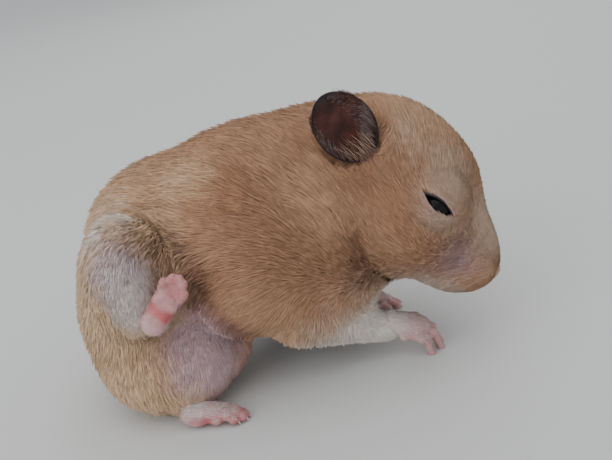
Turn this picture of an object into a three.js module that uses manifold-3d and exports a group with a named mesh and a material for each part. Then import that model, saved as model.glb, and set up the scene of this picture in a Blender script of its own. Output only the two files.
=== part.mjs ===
// A golden hamster resting on its haunch, life size, as a still model in named solids.
// Millimetres, +Z up, the head towards +X and the animal's left side towards +Y. The hind end
// is rolled over, so that the belly and the right hind sole face -Y, while the front lies prone.
// The surface is the tip of the coat; the bare feet, nose, eyes and ears are at their true size.
import * as THREE from "three";
import { mergeVertices } from "three/addons/utils/BufferGeometryUtils.js";
import Module from "manifold-3d";

const wasm = await Module();
wasm.setup();

// ---- driving dimensions -----------------------------------------------------------------
const GAP = 0.3; // clear width of the thin cuts between neighbouring solids
const SLACK = 0.4; // extra room that a foot is given in the leg it grows from
// The planes that part the trunk: the place in x at a height, and the lean in degrees.
const PARTINGS = { head: [13.5, 42, -10], neck: [2, 40, -4], chest: [-15, 34, -10] };
const TRUNK_CELL = 5; // size of the facets on the trunk
const HEAD_CELL = 3.5;
const LIMB_CELL = 3.4;
const FOOT_CELL = 1.52;

const TRUNK = {
  ribcage: { at: [-2, 9, 32.5], radii: [24.5, 25.5, 28] },
  shoulder: { at: [3, -4, 25], radii: [12, 13.5, 14] },
  nape: { at: [9, 8, 44.5], radii: [17, 15.8, 17] },
  neck: { at: [13.5, 5.5, 38], radii: [13.5, 14, 15] },
  loin: { at: [-14.7, 7, 40], radii: [22, 23, 20] },
  flank: { at: [-12.3, -5.5, 30], radii: [17, 16, 17] },
  brisket: { at: [2, 14, 16], radii: [14, 14, 16.4] },
  blend: 6,
};
const HIND = {
  croup: { at: [-32.3, 9.5, 33.6], radii: [20.4, 19.5, 20] },
  pelvis: { at: [-38, 3, 20.7], radii: [18.6, 19, 21.2] },
  buttock: { at: [-44, -4.5, 21.5], radii: [11.6, 13.5, 18.5] },
  thigh: { at: [-41.3, -10, 37], radii: [10, 10.5, 12] },
  leftHaunch: { at: [-37, -11.5, 11], radii: [14.5, 12, 11.5] },
  groin: { at: [-29, 2, 17], radii: [12, 12, 13] },
  blend: 4.5,
};
const FLANK_CREASE = 1.6; // how softly the flank folds over the rolled hind end

// The head has a frame of its own: origin in the middle of the skull, x towards the nose, y to
// the animal's left, z to the crown.
const HEAD = {
  at: [25.9, 4, 44.4],
  roll: -22,
  pitch: 40,
  cranium: { at: [-3.5, 0, -1.2], radii: [17.5, 15.5, 15.4] },
  forehead: { at: [6, 0, -2.6], radii: [14.3, 13, 13.8] },
  bridge: { at: [16, 0, -8], radii: [11.3, 9.5, 9.3] },
  muzzle: { at: [22, 0, -12], radii: [9.7, 8.4, 7.8] },
  chin: { at: [17.5, 0, -15], radii: [9, 6.6, 6.6] },
  cheek: { at: [7, 6.5, -12], radii: [12.5, 10, 12.4] },
  blend: 5,
  throat: 2.5, // how softly the jaw and the nape meet the shoulders
};
const EYE = { at: [10.3, 9.5, -6.1], radius: 3.5, lid: 0.95, slit: [8.8, 3], tilt: 12, cutFrom: 0.8 };
const EAR = { length: 17.8, width: 14, cup: 4.4, wall: 0.9, root: 0.03, roundness: 0.46 };
const EARS = {
  right: { side: -1, root: [-9, 14.6, -4.1], along: [-0.88, 0.4, 0.28], across: [-0.3, -0.12, -0.95] },
  left: { side: 1, root: [-6.5, 12.6, 3.4], along: [-0.62, 0.74, 0.26], across: [-0.3, 0, -0.95] },
};

const FORELEG = { elbow: 6, wrist: 3.7, blend: 5, room: 8 };
const RIGHT_FORELEG = { elbow: [-5, -11, 15.5], wrist: [15, -6.6, 8.2] };
const LEFT_FORELEG = { elbow: [-8, 23, 9], wrist: [7, 20.8, 4.5] };
const SHANK = { knee: 5.6, ankle: 3.5, blend: 3, room: 7 };
const RIGHT_SHANK = { knee: [-40.5, -14, 39], ankle: [-39, -19, 28.2] };
const LEFT_SHANK = { knee: [-24, -7, 9.5], ankle: [-33, -17, 4.8] };
const TAIL = { root: [-50, 11, 9.5], tip: [-57.5, 17.5, 4], radii: [2.6, 1.3] };

const FOREPAW = {
  palm: { length: 8, width: 6.6, thickness: 4.2 },
  digits: 4,
  digit: { length: 6.2, root: 1.35, tip: 0.95, spread: 40 },
  thumb: 0.45,
  claw: { length: 1.9, radius: 0.42, inset: 0.45 },
};
const HINDFOOT = {
  palm: { length: 10, width: 6.6, thickness: 4.4 },
  digits: 5,
  digit: { length: 4.6, root: 1.4, tip: 1.05, spread: 34 },
  thumb: 0,
  claw: { length: 2.1, radius: 0.45, inset: 0.45 },
};
const FEET = {
  forepaw_right: {
    kind: FOREPAW,
    droop: 6.2,
    root: [16.6, -6.6, 8.8],
    toes: [25.5, -6.9, 7],
    back: [0.2, -0.25, 1],
  },
  forepaw_left: {
    kind: FOREPAW,
    droop: 1.5,
    root: [9, 20.4, 3.8],
    toes: [18.4, 19.3, 2.4],
    back: [0.1, 0.1, 1],
  },
  hindfoot_right: {
    kind: HINDFOOT,
    droop: 1.6,
    root: [-36.3, -23.1, 27.5],
    toes: [-28.5, -21.7, 36.3],
    back: [0, 0.93, -0.37],
  },
  hindfoot_left: {
    kind: HINDFOOT,
    droop: 1.2,
    root: [-33.5, -21.5, 2.8],
    toes: [-21.5, -22, 2.3],
    back: [0, 0.2, 0.98],
  },
};

// ---- fields: the distance of a point from a shape, less than zero inside it ---------------
const rotation = (x, y, z) =>
  new THREE.Matrix4().makeRotationFromEuler(
    new THREE.Euler(...[x, y, z].map(THREE.MathUtils.degToRad), "XYZ"),
  );

// An ellipsoid. k0 is the point's distance in units of the radii, and k1 how fast that grows.
const egg = ({ at, radii }) => (x, y, z) => {
  const px = (x - at[0]) / radii[0];
  const py = (y - at[1]) / radii[1];
  const pz = (z - at[2]) / radii[2];
  const k0 = Math.hypot(px, py, pz);
  const k1 = Math.hypot(px / radii[0], py / radii[1], pz / radii[2]) || 1e-9;
  return (k0 * (k0 - 1)) / k1;
};

// A round-ended rod that tapers from radius ra at a to rb at b.
const rod = (a, b, ra, rb) => {
  const along = b.map((v, i) => v - a[i]);
  const square = along.reduce((sum, v) => sum + v * v, 0);
  return (x, y, z) => {
    const p = [x - a[0], y - a[1], z - a[2]];
    const dot = p[0] * along[0] + p[1] * along[1] + p[2] * along[2];
    const t = Math.min(1, Math.max(0, dot / square));
    return Math.hypot(...p.map((v, i) => v - t * along[i])) - (ra + (rb - ra) * t);
  };
};

// Shapes joined with their meeting edges filled to a fillet about `soft` millimetres across.
const join = (soft, ...fields) => (x, y, z) =>
  fields.reduce((low, field) => {
    const d = field(x, y, z);
    const h = Math.max(soft - Math.abs(low - d), 0) / soft;
    return Math.min(low, d) - (h * h * soft) / 4;
  }, 1e3);

// A field drawn in a frame of its own: `place` takes that frame to the model's.
const framed = (place, field) => {
  const back = place.clone().invert();
  const p = new THREE.Vector3();
  return (x, y, z) => {
    p.set(x, y, z).applyMatrix4(back);
    return field(p.x, p.y, p.z);
  };
};

const mirrored = (lump, side) => ({ ...lump, at: [lump.at[0], side * lump.at[1], lump.at[2]] });

// ---- the animal's field -----------------------------------------------------------------
const LIDS = { at: EYE.at, radii: [1, 1, 1].map(() => EYE.radius + EYE.lid) };
const headPlace = rotation(HEAD.roll, HEAD.pitch, 0).setPosition(...HEAD.at);
const headField = framed(
  headPlace,
  join(
    HEAD.blend,
    egg(HEAD.cranium),
    egg(HEAD.forehead),
    egg(HEAD.bridge),
    egg(HEAD.muzzle),
    egg(HEAD.chin),
    ...[1, -1].flatMap((side) => [egg(mirrored(HEAD.cheek, side)), egg(mirrored(LIDS, side))]),
  ),
);
const frontField = join(
  TRUNK.blend,
  egg(TRUNK.ribcage),
  egg(TRUNK.shoulder),
  egg(TRUNK.loin),
  egg(TRUNK.nape),
  egg(TRUNK.flank),
  egg(TRUNK.brisket),
  egg(TRUNK.neck),
  egg(HIND.croup),
);
const hindField = join(
  HIND.blend,
  egg(HIND.croup),
  egg(HIND.pelvis),
  egg(HIND.buttock),
  egg(HIND.thigh),
  egg(HIND.leftHaunch),
  egg(HIND.groin),
);
const forelegField = ({ elbow, wrist }) => rod(elbow, wrist, FORELEG.elbow, FORELEG.wrist);
const shankField = ({ knee, ankle }) => rod(knee, ankle, SHANK.knee, SHANK.ankle);
const bodyField = join(
  SHANK.blend,
  join(
    FORELEG.blend,
    join(HEAD.throat, join(FLANK_CREASE, frontField, hindField), headField),
    forelegField(RIGHT_FORELEG),
    forelegField(LEFT_FORELEG),
  ),
  shankField(RIGHT_SHANK),
  shankField(LEFT_SHANK),
);

// ---- feet ---------------------------------------------------------------------------------
// The frame of a foot, from its root, its toes and the way its back faces.
function footPlace({ root, toes, back }) {
  const start = new THREE.Vector3(...root);
  const x = new THREE.Vector3(...toes).sub(start).normalize();
  const y = new THREE.Vector3(...back).cross(x).normalize();
  const z = x.clone().cross(y);
  return new THREE.Matrix4().makeBasis(x, y, z).setPosition(start);
}

// Each digit's knuckle, middle joint and tip in the foot's frame, fanned evenly over the spread,
// the outer ones shorter and set further back.
function digitsOf({ droop, kind: { palm, digits, digit, thumb } }) {
  const made = [];
  for (let i = 0; i < digits; i += 1) {
    const share = (2 * i) / (digits - 1) - 1;
    const angle = THREE.MathUtils.degToRad((digit.spread / 2) * share);
    const length = digit.length * (1 - 0.22 * share * share);
    const knuckle = [
      palm.length - 1.2 - 1.3 * share * share,
      share * (palm.width / 2 - digit.root * 0.9),
      0,
    ];
    const reach = (part, drop) => [
      knuckle[0] + part * length * Math.cos(angle),
      knuckle[1] + part * length * Math.sin(angle),
      knuckle[2] - drop,
    ];
    made.push([knuckle, reach(0.55, 0.3 * droop), reach(1, droop)]);
  }
  if (thumb) {
    const root = [palm.length * 0.5, -palm.width * 0.42, -0.4];
    const tip = [root[0] + digit.length * thumb, root[1] - 1.2, root[2] - 0.9];
    made.push([root, root.map((v, i) => (v + tip[i]) / 2), tip]);
  }
  return made;
}

function footField(foot) {
  const { palm, digit } = foot.kind;
  const half = palm.length / 2;
  const sole = egg({ at: [half, 0, 0], radii: [half + 1.2, palm.width / 2, palm.thickness / 2] });
  const heel = rod([0.6, 0, 0.3], [half, 0, 0], palm.thickness * 0.62, palm.thickness * 0.45);
  const middle = (digit.root + digit.tip) / 2;
  const digits = digitsOf(foot).map(([knuckle, joint, tip]) =>
    join(0.4, rod(knuckle, joint, digit.root, middle), rod(joint, tip, middle, digit.tip)),
  );
  return framed(footPlace(foot), join(1.1, join(2, sole, heel), join(0.3, ...digits)));
}

// The room a foot takes out of its leg and of anything beside it: a capsule, widened over the sole.
function roomFor(foot) {
  const { palm, digit } = foot.kind;
  const radius = palm.thickness * 0.62 + SLACK + GAP;
  const length = palm.length + digit.length * 0.7;
  const widen = (palm.width / 2 + SLACK + GAP) / radius;
  return solidOf(
    new THREE.CapsuleGeometry(radius, length, 4, 12)
      .rotateZ(-Math.PI / 2)
      .translate(length / 2, 0, 0)
      .scale(1, widen, 1)
      .applyMatrix4(footPlace(foot)),
  );
}

// A curved claw is near enough a cone, which starts inside the tip of its digit.
function clawGeometries(foot) {
  const { claw } = foot.kind;
  return digitsOf(foot).map(([, joint, tip]) => {
    const way = new THREE.Vector3(...tip).sub(new THREE.Vector3(...joint)).normalize();
    return new THREE.ConeGeometry(claw.radius, claw.length, 6)
      .translate(0, claw.length / 2, 0)
      .applyQuaternion(new THREE.Quaternion().setFromUnitVectors(new THREE.Vector3(0, 1, 0), way))
      .translate(...new THREE.Vector3(...tip).addScaledVector(way, claw.inset))
      .applyMatrix4(footPlace(foot));
  });
}

// ---- from fields to solids --------------------------------------------------------------
// A net of quadrilaterals round a field's zero surface, inside the box from low to high: one
// vertex in each cell that the surface crosses, then drawn onto the surface along the gradient.
// The outermost layer of samples counts as outside, so the net is always closed.
function netOf(field, low, high, cell) {
  const size = low.map((v, i) => Math.ceil((high[i] - v) / cell) + 1);
  const step = [1, size[0], size[0] * size[1]];
  const value = new Float32Array(step[2] * size[2]);
  const point = (i, j, k) => [low[0] + i * cell, low[1] + j * cell, low[2] + k * cell];
  const everyCell = (upTo, visit) => {
    for (let k = 0; k < size[2] - upTo; k += 1)
      for (let j = 0; j < size[1] - upTo; j += 1)
        for (let i = 0; i < size[0] - upTo; i += 1) visit(i, j, k, i + j * step[1] + k * step[2]);
  };
  everyCell(0, (i, j, k, n) => {
    const edge = [i, j, k].some((v, axis) => v === 0 || v === size[axis] - 1);
    value[n] = edge ? cell : field(...point(i, j, k));
  });

  const positions = [];
  const vertexOf = new Map();
  everyCell(1, (i, j, k, n) => {
    const sum = [0, 0, 0];
    let crossings = 0;
    for (let axis = 0; axis < 3; axis += 1) {
      for (let side = 0; side < 4; side += 1) {
        const offset = [0, 0, 0];
        offset[(axis + 1) % 3] = side & 1;
        offset[(axis + 2) % 3] = side >> 1;
        const at = n + offset[0] + offset[1] * step[1] + offset[2] * step[2];
        const [a, b] = [value[at], value[at + step[axis]]];
        if (a < 0 === b < 0) continue;
        offset[axis] = a / (a - b);
        offset.forEach((v, c) => (sum[c] += v));
        crossings += 1;
      }
    }
    if (!crossings) return;
    vertexOf.set(n, positions.length / 3);
    positions.push(...point(...[i, j, k].map((v, c) => v + sum[c] / crossings)));
  });

  const DELTA = 0.01; // a short step, to measure a field's slope
  const inner = (v, axis) => v > low[axis] + cell && v < low[axis] + (size[axis] - 2) * cell;
  for (let n = 0; n < positions.length; n += 3) {
    const p = positions.slice(n, n + 3);
    if (!p.every(inner)) continue;
    for (let pass = 0; pass < 3; pass += 1) {
      const here = field(...p);
      const slope = p.map((v, axis) => {
        const q = [...p];
        q[axis] += DELTA;
        return (field(...q) - here) / DELTA;
      });
      const square = slope.reduce((sum, v) => sum + v * v, 1e-6);
      const move = Math.max(-0.3 * cell, Math.min(0.3 * cell, here)) / square;
      p.forEach((v, axis) => (p[axis] = v - move * slope[axis]));
    }
    p.forEach((v, axis) => (positions[n + axis] = v));
  }

  const faces = [];
  everyCell(1, (i, j, k, n) => {
    for (let axis = 0; axis < 3; axis += 1) {
      const [b, c] = [(axis + 1) % 3, (axis + 2) % 3];
      const at = [i, j, k];
      if (at[b] === 0 || at[c] === 0) continue;
      const starts = value[n] < 0;
      if (starts === value[n + step[axis]] < 0) continue;
      const ring = [n - step[b] - step[c], n - step[c], n, n - step[b]].map((m) => vertexOf.get(m));
      const [p, q, r, s] = starts ? ring : ring.reverse();
      faces.push(p, q, r, p, r, s);
    }
  });
  return new THREE.BufferGeometry()
    .setAttribute("position", new THREE.Float32BufferAttribute(positions, 3))
    .setIndex(faces);
}

// A closed geometry as a solid that can be cut and joined.
function solidOf(geometry) {
  const bare = geometry.clone();
  bare.deleteAttribute("normal");
  bare.deleteAttribute("uv");
  const merged = mergeVertices(bare, 1e-5);
  return new wasm.Manifold(
    new wasm.Mesh({
      numProp: 3,
      vertProperties: new Float32Array(merged.attributes.position.array),
      triVerts: new Uint32Array(merged.index.array),
    }),
  );
}

// A solid as facets. Where two sheets of it touch in one point, each draws back to its own side.
function geometryOf(solid) {
  const { numProp, vertProperties, triVerts, numVert } = solid.getMesh();
  const geometry = new THREE.BufferGeometry()
    .setAttribute("position", new THREE.BufferAttribute(new Float32Array(numVert * 3), 3))
    .setIndex([...triVerts]);
  const { position } = geometry.attributes;
  for (let i = 0; i < numVert; i += 1)
    position.array.set(vertProperties.subarray(i * numProp, i * numProp + 3), i * 3);
  geometry.computeVertexNormals();
  const { normal } = geometry.attributes;
  const at = (i) => [0, 1, 2].map((axis) => position.array[3 * i + axis].toFixed(3)).join();
  const met = new Map();
  for (let i = 0; i < numVert; i += 1) met.set(at(i), [...(met.get(at(i)) ?? []), i]);
  for (const touching of met.values())
    for (const i of touching.length > 1 ? touching : [])
      for (let n = 3 * i; n < 3 * i + 3; n += 1) position.array[n] -= 0.03 * normal.array[n];
  const flat = geometry.toNonIndexed();
  flat.computeVertexNormals();
  return flat;
}

const netSolid = (field, low, high, cell) => solidOf(netOf(field, low, high, cell));
const grown = (field, by) => (x, y, z) => field(x, y, z) - by;
const ALL = { low: [-66, -44, -6], high: [60, 46, 74] };
const LARGE = 200;

// The half of space on the +X side of a plane that passes through x at `height` and leans. Like
// every region below it can be grown by `extra`, to leave a thin cut round what it took.
const beyond = (x, height, lean) => (extra) =>
  solidOf(
    new THREE.BoxGeometry(LARGE, LARGE, LARGE)
      .translate(LARGE / 2 - extra, 0, 0)
      .applyMatrix4(rotation(0, lean, 0))
      .translate(x, 0, height),
  );

// A round-ended region about a limb, which parts it from the trunk.
const about = (a, b, radius) => (extra) => {
  const [start, end] = [new THREE.Vector3(...a), new THREE.Vector3(...b)];
  const way = end.clone().sub(start);
  const turn = new THREE.Quaternion().setFromUnitVectors(
    new THREE.Vector3(0, 1, 0),
    way.clone().normalize(),
  );
  return solidOf(
    new THREE.CapsuleGeometry(radius + extra, way.length(), 3, 12)
      .applyQuaternion(turn)
      .translate(...start.lerp(end, 0.5)),
  );
};

// ---- eyes and ears ----------------------------------------------------------------------
const onHead = (geometry, side) => {
  const placed = geometry.applyMatrix4(new THREE.Matrix4().makeScale(1, side, 1));
  if (side < 0) {
    const index = placed.index.array;
    for (let i = 0; i < index.length; i += 3) [index[i], index[i + 1]] = [index[i + 1], index[i]];
  }
  return placed.applyMatrix4(headPlace);
};

const eyeball = (side, radius) =>
  solidOf(onHead(new THREE.SphereGeometry(radius, 12, 8).translate(...EYE.at), side));

// The opening between the half-closed lids: an almond of two arcs, cut in from the side.
function lidOpening(side) {
  const [length, height] = EYE.slit;
  const half = length / 2;
  const bulge = height / 2;
  const radius = (half * half + bulge * bulge) / (2 * bulge);
  const sweep = Math.asin(half / radius);
  const almond = new THREE.Shape();
  almond.absarc(0, bulge - radius, radius, Math.PI / 2 - sweep, Math.PI / 2 + sweep, false);
  almond.absarc(0, radius - bulge, radius, 1.5 * Math.PI - sweep, 1.5 * Math.PI + sweep, false);
  const cut = new THREE.ExtrudeGeometry(almond, { depth: 8, bevelEnabled: false, curveSegments: 5 })
    .applyMatrix4(rotation(0, 0, EYE.tilt))
    .applyMatrix4(rotation(-90, 0, 0))
    .translate(EYE.at[0], EYE.at[1] + EYE.cutFrom, EYE.at[2]);
  return solidOf(onHead(new THREE.BufferGeometry().copy(mergeVertices(cut)), side));
}

// The pinna: a round leaf laid back along the skull and cupped across. u runs from the root to
// the tip and v across; the wall is laid out behind the cup.
function earSolid({ side, root, ...lie }) {
  const [ROWS, COLUMNS] = [7, 8];
  const [along, across] = [lie.along, lie.across].map((v) => new THREE.Vector3(...v).normalize());
  const outward = across.clone().cross(along).normalize();
  across.copy(along).cross(outward);
  const leaf = (u, v) => {
    const swell = Math.sin(Math.PI * (EAR.root + (1 - EAR.root) * u));
    const half = (EAR.width / 2) * Math.pow(swell, EAR.roundness);
    const turn = (v * Math.PI) / 2;
    const depth = EAR.cup * (Math.cos(turn) * (1 - 0.55 * u) - 1);
    return new THREE.Vector3(half * Math.sin(turn), EAR.length * u, -depth - EAR.cup);
  };
  const sheet = [[], []];
  for (let layer = 0; layer < 2; layer += 1)
    for (let i = 0; i <= ROWS; i += 1)
      for (let j = 0; j <= COLUMNS; j += 1) {
        const u = (i / ROWS) * 0.985;
        const p = leaf(u, (2 * j) / COLUMNS - 1);
        p.z -= layer * EAR.wall * (1.5 - 0.5 * u);
        sheet[layer].push(p);
      }
  const positions = sheet.flat().flatMap((p) => [p.x, p.y, p.z]);
  const row = COLUMNS + 1;
  const back = row * (ROWS + 1);
  const faces = [];
  const quad = (a, b, c, d) => faces.push(a, b, c, a, c, d);
  for (let i = 0; i < ROWS; i += 1)
    for (let j = 0; j < COLUMNS; j += 1) {
      const n = i * row + j;
      quad(n, n + 1, n + row + 1, n + row);
      quad(back + n, back + n + row, back + n + row + 1, back + n + 1);
    }
  for (let i = 0; i < ROWS; i += 1) {
    const [left, right] = [i * row, i * row + COLUMNS];
    quad(left, left + row, back + left + row, back + left);
    quad(right, back + right, back + right + row, right + row);
  }
  for (let j = 0; j < COLUMNS; j += 1) {
    const top = ROWS * row + j;
    quad(j, back + j, back + j + 1, j + 1);
    quad(top, top + 1, back + top + 1, back + top);
  }
  const shell = new THREE.BufferGeometry()
    .setAttribute("position", new THREE.Float32BufferAttribute(positions, 3))
    .setIndex(faces)
    .applyMatrix4(new THREE.Matrix4().makeBasis(across, along, outward).setPosition(...root));
  return solidOf(onHead(shell, side));
}

// ---- cutting the animal into its named solids --------------------------------------------
const floor = solidOf(new THREE.BoxGeometry(LARGE, LARGE, LARGE).translate(0, 0, -LARGE / 2));
const largest = (solid) =>
  solid.decompose().reduce((best, piece) => (piece.volume() > best.volume() ? piece : best));

const solids = new Map();
const carved = []; // what each finished solid takes out of those that come after it

for (const [name, foot] of Object.entries(FEET)) {
  const centre = foot.root.map((v, i) => (v + foot.toes[i]) / 2);
  const [low, high] = [centre.map((v) => v - 17), centre.map((v) => v + 17)];
  const claws = clawGeometries(foot).map(solidOf);
  const flesh = netSolid(footField(foot), low, high, FOOT_CELL);
  solids.set(name, claws.reduce((whole, claw) => whole.add(claw), flesh));
  carved.push(roomFor(foot));
}

const tailField = rod(TAIL.root, TAIL.tip, ...TAIL.radii);
const skinOfHead = grown(bodyField, GAP);
for (const [name, { side }] of Object.entries(EARS)) {
  solids.set(`eye_${name}`, eyeball(side, EYE.radius));
  carved.push(eyeball(side, EYE.radius + GAP), lidOpening(side));
}
const headSkin = netSolid(skinOfHead, [-14, -26, 24], [46, 44, 76], HEAD_CELL);
for (const [name, ear] of Object.entries(EARS))
  solids.set(`ear_${name}`, largest(earSolid(ear).subtract(headSkin)));

// Each blended piece: its region, and the size of its facets. Earlier ones are cut out first.
const BLENDED = [
  ["foreleg_right", about(RIGHT_FORELEG.elbow, RIGHT_FORELEG.wrist, FORELEG.room), LIMB_CELL],
  ["foreleg_left", about(LEFT_FORELEG.elbow, LEFT_FORELEG.wrist, FORELEG.room), LIMB_CELL],
  ["hindleg_right", about(RIGHT_SHANK.knee, RIGHT_SHANK.ankle, SHANK.room), LIMB_CELL],
  ["hindleg_left", about(LEFT_SHANK.knee, LEFT_SHANK.ankle, SHANK.room), LIMB_CELL],
  ["head", beyond(...PARTINGS.head), HEAD_CELL],
  ["neck", beyond(...PARTINGS.neck), TRUNK_CELL],
  ["chest", beyond(...PARTINGS.chest), TRUNK_CELL],
  ["abdomen", beyond(-LARGE / 2, 0, 0), TRUNK_CELL],
];
const tailSolid = netSolid(tailField, [-64, 4, -2], [-42, 26, 18], FOOT_CELL);
const trunkSkin = netSolid(grown(bodyField, GAP), [-66, -4, -4], [-36, 34, 30], LIMB_CELL);
solids.set("tail", largest(tailSolid.subtract(trunkSkin)));

const nets = new Map();
const netAt = (cell) => {
  if (!nets.has(cell)) nets.set(cell, netSolid(bodyField, ALL.low, ALL.high, cell));
  return nets.get(cell);
};
const taken = [];
for (const [name, region, cell] of BLENDED) {
  const rest = [...carved, ...taken].reduce((solid, cut) => solid.subtract(cut), netAt(cell));
  solids.set(name, largest(rest.intersect(region(0))));
  taken.push(region(GAP));
}

// ---- materials and the finished group ---------------------------------------------------
const finish = (color, roughness) => new THREE.MeshStandardMaterial({ color, roughness, metalness: 0 });
const COAT = finish(0xc08a5c, 0.85);
const BARE_SKIN = finish(0xd9a39c, 0.55);
const EAR_SKIN = finish(0x4a3a3c, 0.6);
const EYE_BLACK = finish(0x0b0a0c, 0.08);
const materialOf = (name) => {
  if (name.startsWith("eye")) return EYE_BLACK;
  if (name.startsWith("ear")) return EAR_SKIN;
  return /paw|foot|tail/.test(name) ? BARE_SKIN : COAT;
};

const hamster = new THREE.Group();
for (const [name, solid] of solids) {
  const mesh = new THREE.Mesh(geometryOf(largest(solid.subtract(floor))), materialOf(name));
  mesh.name = name;
  hamster.add(mesh);
}
// The origin is on the floor, under the middle of the animal's outline seen from above.
const centre = new THREE.Box3().setFromObject(hamster).getCenter(new THREE.Vector3());
hamster.position.set(-centre.x, -centre.y, 0);

export default hamster;
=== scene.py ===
"""A golden hamster resting on its haunch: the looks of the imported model.

The coat's tips follow the same lumps as the solids. The skin lies inside them by the coat's
depth, and solid tufts lie over it. Shapes are worked out in millimetres, in the frame of the
lumps, and go into the meshes in metres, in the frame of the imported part.
"""

import math

import bpy
import numpy as np
from mathutils import Matrix, Vector


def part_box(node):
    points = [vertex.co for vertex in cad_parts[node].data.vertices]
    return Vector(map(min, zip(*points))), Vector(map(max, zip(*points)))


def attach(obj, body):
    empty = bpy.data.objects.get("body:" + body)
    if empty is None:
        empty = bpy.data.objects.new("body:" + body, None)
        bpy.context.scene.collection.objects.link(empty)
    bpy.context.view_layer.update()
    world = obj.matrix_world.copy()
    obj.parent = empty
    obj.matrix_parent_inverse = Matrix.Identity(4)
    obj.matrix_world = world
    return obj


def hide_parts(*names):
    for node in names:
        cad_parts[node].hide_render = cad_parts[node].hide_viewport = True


bl_info = {
    "name": "Golden hamster at rest",
    "version": (1, 0, 0),
    "blender": (4, 5, 0),
    "location": "3D View > Sidebar > Hamster",
    "description": "Builds the skin, coat, face and feet of a life-size golden hamster",
    "category": "Add Mesh",
}

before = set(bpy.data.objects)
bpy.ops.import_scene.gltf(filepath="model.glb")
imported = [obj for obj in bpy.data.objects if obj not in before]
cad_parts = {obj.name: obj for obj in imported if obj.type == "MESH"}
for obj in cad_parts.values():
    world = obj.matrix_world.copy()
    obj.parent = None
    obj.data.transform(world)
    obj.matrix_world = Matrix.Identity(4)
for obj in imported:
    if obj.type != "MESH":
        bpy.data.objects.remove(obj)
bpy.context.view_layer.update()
MM = 0.001

# ---- the lumps of the body: middle and radii ---------------------------------------------
RIBCAGE = ((-2, 9, 32.5), (24.5, 25.5, 28))
SHOULDER = ((3, -4, 25), (12, 13.5, 14))
NAPE = ((9, 8, 44.5), (17, 15.8, 17))
NECK = ((13.5, 5.5, 38), (13.5, 14, 15))
LOIN = ((-14.7, 7, 40), (22, 23, 20))
FLANK = ((-12.3, -5.5, 30), (17, 16, 17))
BRISKET = ((2, 14, 16), (14, 14, 16.4))
CROUP = ((-32.3, 9.5, 33.6), (20.4, 19.5, 20))
PELVIS = ((-38, 3, 20.7), (18.6, 19, 21.2))
BUTTOCK = ((-44, -4.5, 21.5), (11.6, 13.5, 18.5))
THIGH = ((-41.3, -10, 37), (10, 10.5, 12))
LEFT_HAUNCH = ((-37, -11.5, 11), (14.5, 12, 11.5))
GROIN = ((-29, 2, 17), (12, 12, 13))
FRONT_BLEND = 6.0
HIND_BLEND = 6.5
FLANK_CREASE = 6.0

# ---- the head, in a frame with x to the nose, y to the animal's left and z to the crown ----
HEAD_AT = np.array((25.9, 4.0, 44.4))
HEAD_ROLL = -22.0
HEAD_PITCH = 40.0
CRANIUM = ((-3.5, 0, -1.2), (17.5, 15.5, 15.4))
FOREHEAD = ((6, 0, -2.6), (14.3, 13, 13.8))
BRIDGE = ((16, 0, -8), (11.3, 9.5, 9.3))
MUZZLE = ((22, 0, -12), (9.7, 8.4, 7.8))
CHIN = ((17.5, 0, -15), (9, 6.6, 6.6))
CHEEK = ((7, 6.5, -12), (12.5, 10, 12.4))
HEAD_BLEND = 5.0
THROAT_BLEND = 7.0
EYE_AT = np.array((10.3, 9.5, -6.1))
EYE_RADIUS = 3.5
EYEBALL_AT = EYE_AT + (0, 1.2, 0)
EYEBALL_RADIUS = 4.1
LID = 0.95
SLIT = (4.1, 1.2)  # half the length and half the height of the half-closed opening
SLIT_TILT = 12.0

# ---- the limbs ----------------------------------------------------------------------------
FORELEG_RADII = (6.0, 3.7)
RIGHT_FORELEG = ((-5, -11, 15.5), (15, -6.6, 8.2))
LEFT_FORELEG = ((-8, 23, 9), (7, 20.8, 4.5))
FORELEG_BLEND = 5.0
SHANK_RADII = (5.6, 3.5)
RIGHT_SHANK = ((-40.5, -14, 39), (-39, -19, 28.2))
LEFT_SHANK = ((-24, -7, 9.5), (-33, -17, 4.8))
SHANK_BLEND = 4.5
TAIL = ((-50, 11, 9.5), (-57.5, 17.5, 4), 2.6, 1.3)


def turn_x(degrees):
    c, s = math.cos(math.radians(degrees)), math.sin(math.radians(degrees))
    return np.array(((1, 0, 0), (0, c, -s), (0, s, c)))


def turn_y(degrees):
    c, s = math.cos(math.radians(degrees)), math.sin(math.radians(degrees))
    return np.array(((c, 0, s), (0, 1, 0), (-s, 0, c)))


HEAD_TURN = turn_x(HEAD_ROLL) @ turn_y(HEAD_PITCH)


def in_head(p):
    """Points in the head's own frame."""
    return (p - HEAD_AT.astype(p.dtype)) @ HEAD_TURN.astype(p.dtype)


def either_side(p):
    """Points in the head's frame, with both sides laid on the left one."""
    q = in_head(p)
    return np.stack((q[..., 0], np.abs(q[..., 1]), q[..., 2]), -1)


def from_head(p):
    """Points of the head's own frame in the frame of the lumps."""
    return np.asarray(p, float) @ HEAD_TURN.T + HEAD_AT


def eye_distance(q):
    return np.linalg.norm(q - EYE_AT, axis=-1)


def on_side(lump, side):
    (x, y, z), radii = lump
    return (x, side * y, z), radii


eye_low, eye_high = (np.array(corner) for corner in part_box("eye_right"))
SHIFT = (eye_low + eye_high) / 2 / MM - from_head(EYE_AT * (1, -1, 1))
SHIFT[2] = 0.0


# ---- distances from shapes, less than zero inside, for whole arrays of points --------------
def egg(p, lump):
    """Ellipsoid: length k0 in units of the radii, times (k0 - 1), over how fast it grows."""
    at, radii = (np.asarray(v, p.dtype) for v in lump)
    q = (p - at) / radii
    k0 = np.sqrt((q * q).sum(-1))
    k1 = np.sqrt(((q / radii) ** 2).sum(-1)) + 1e-9
    return k0 * (k0 - 1) / k1


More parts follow.
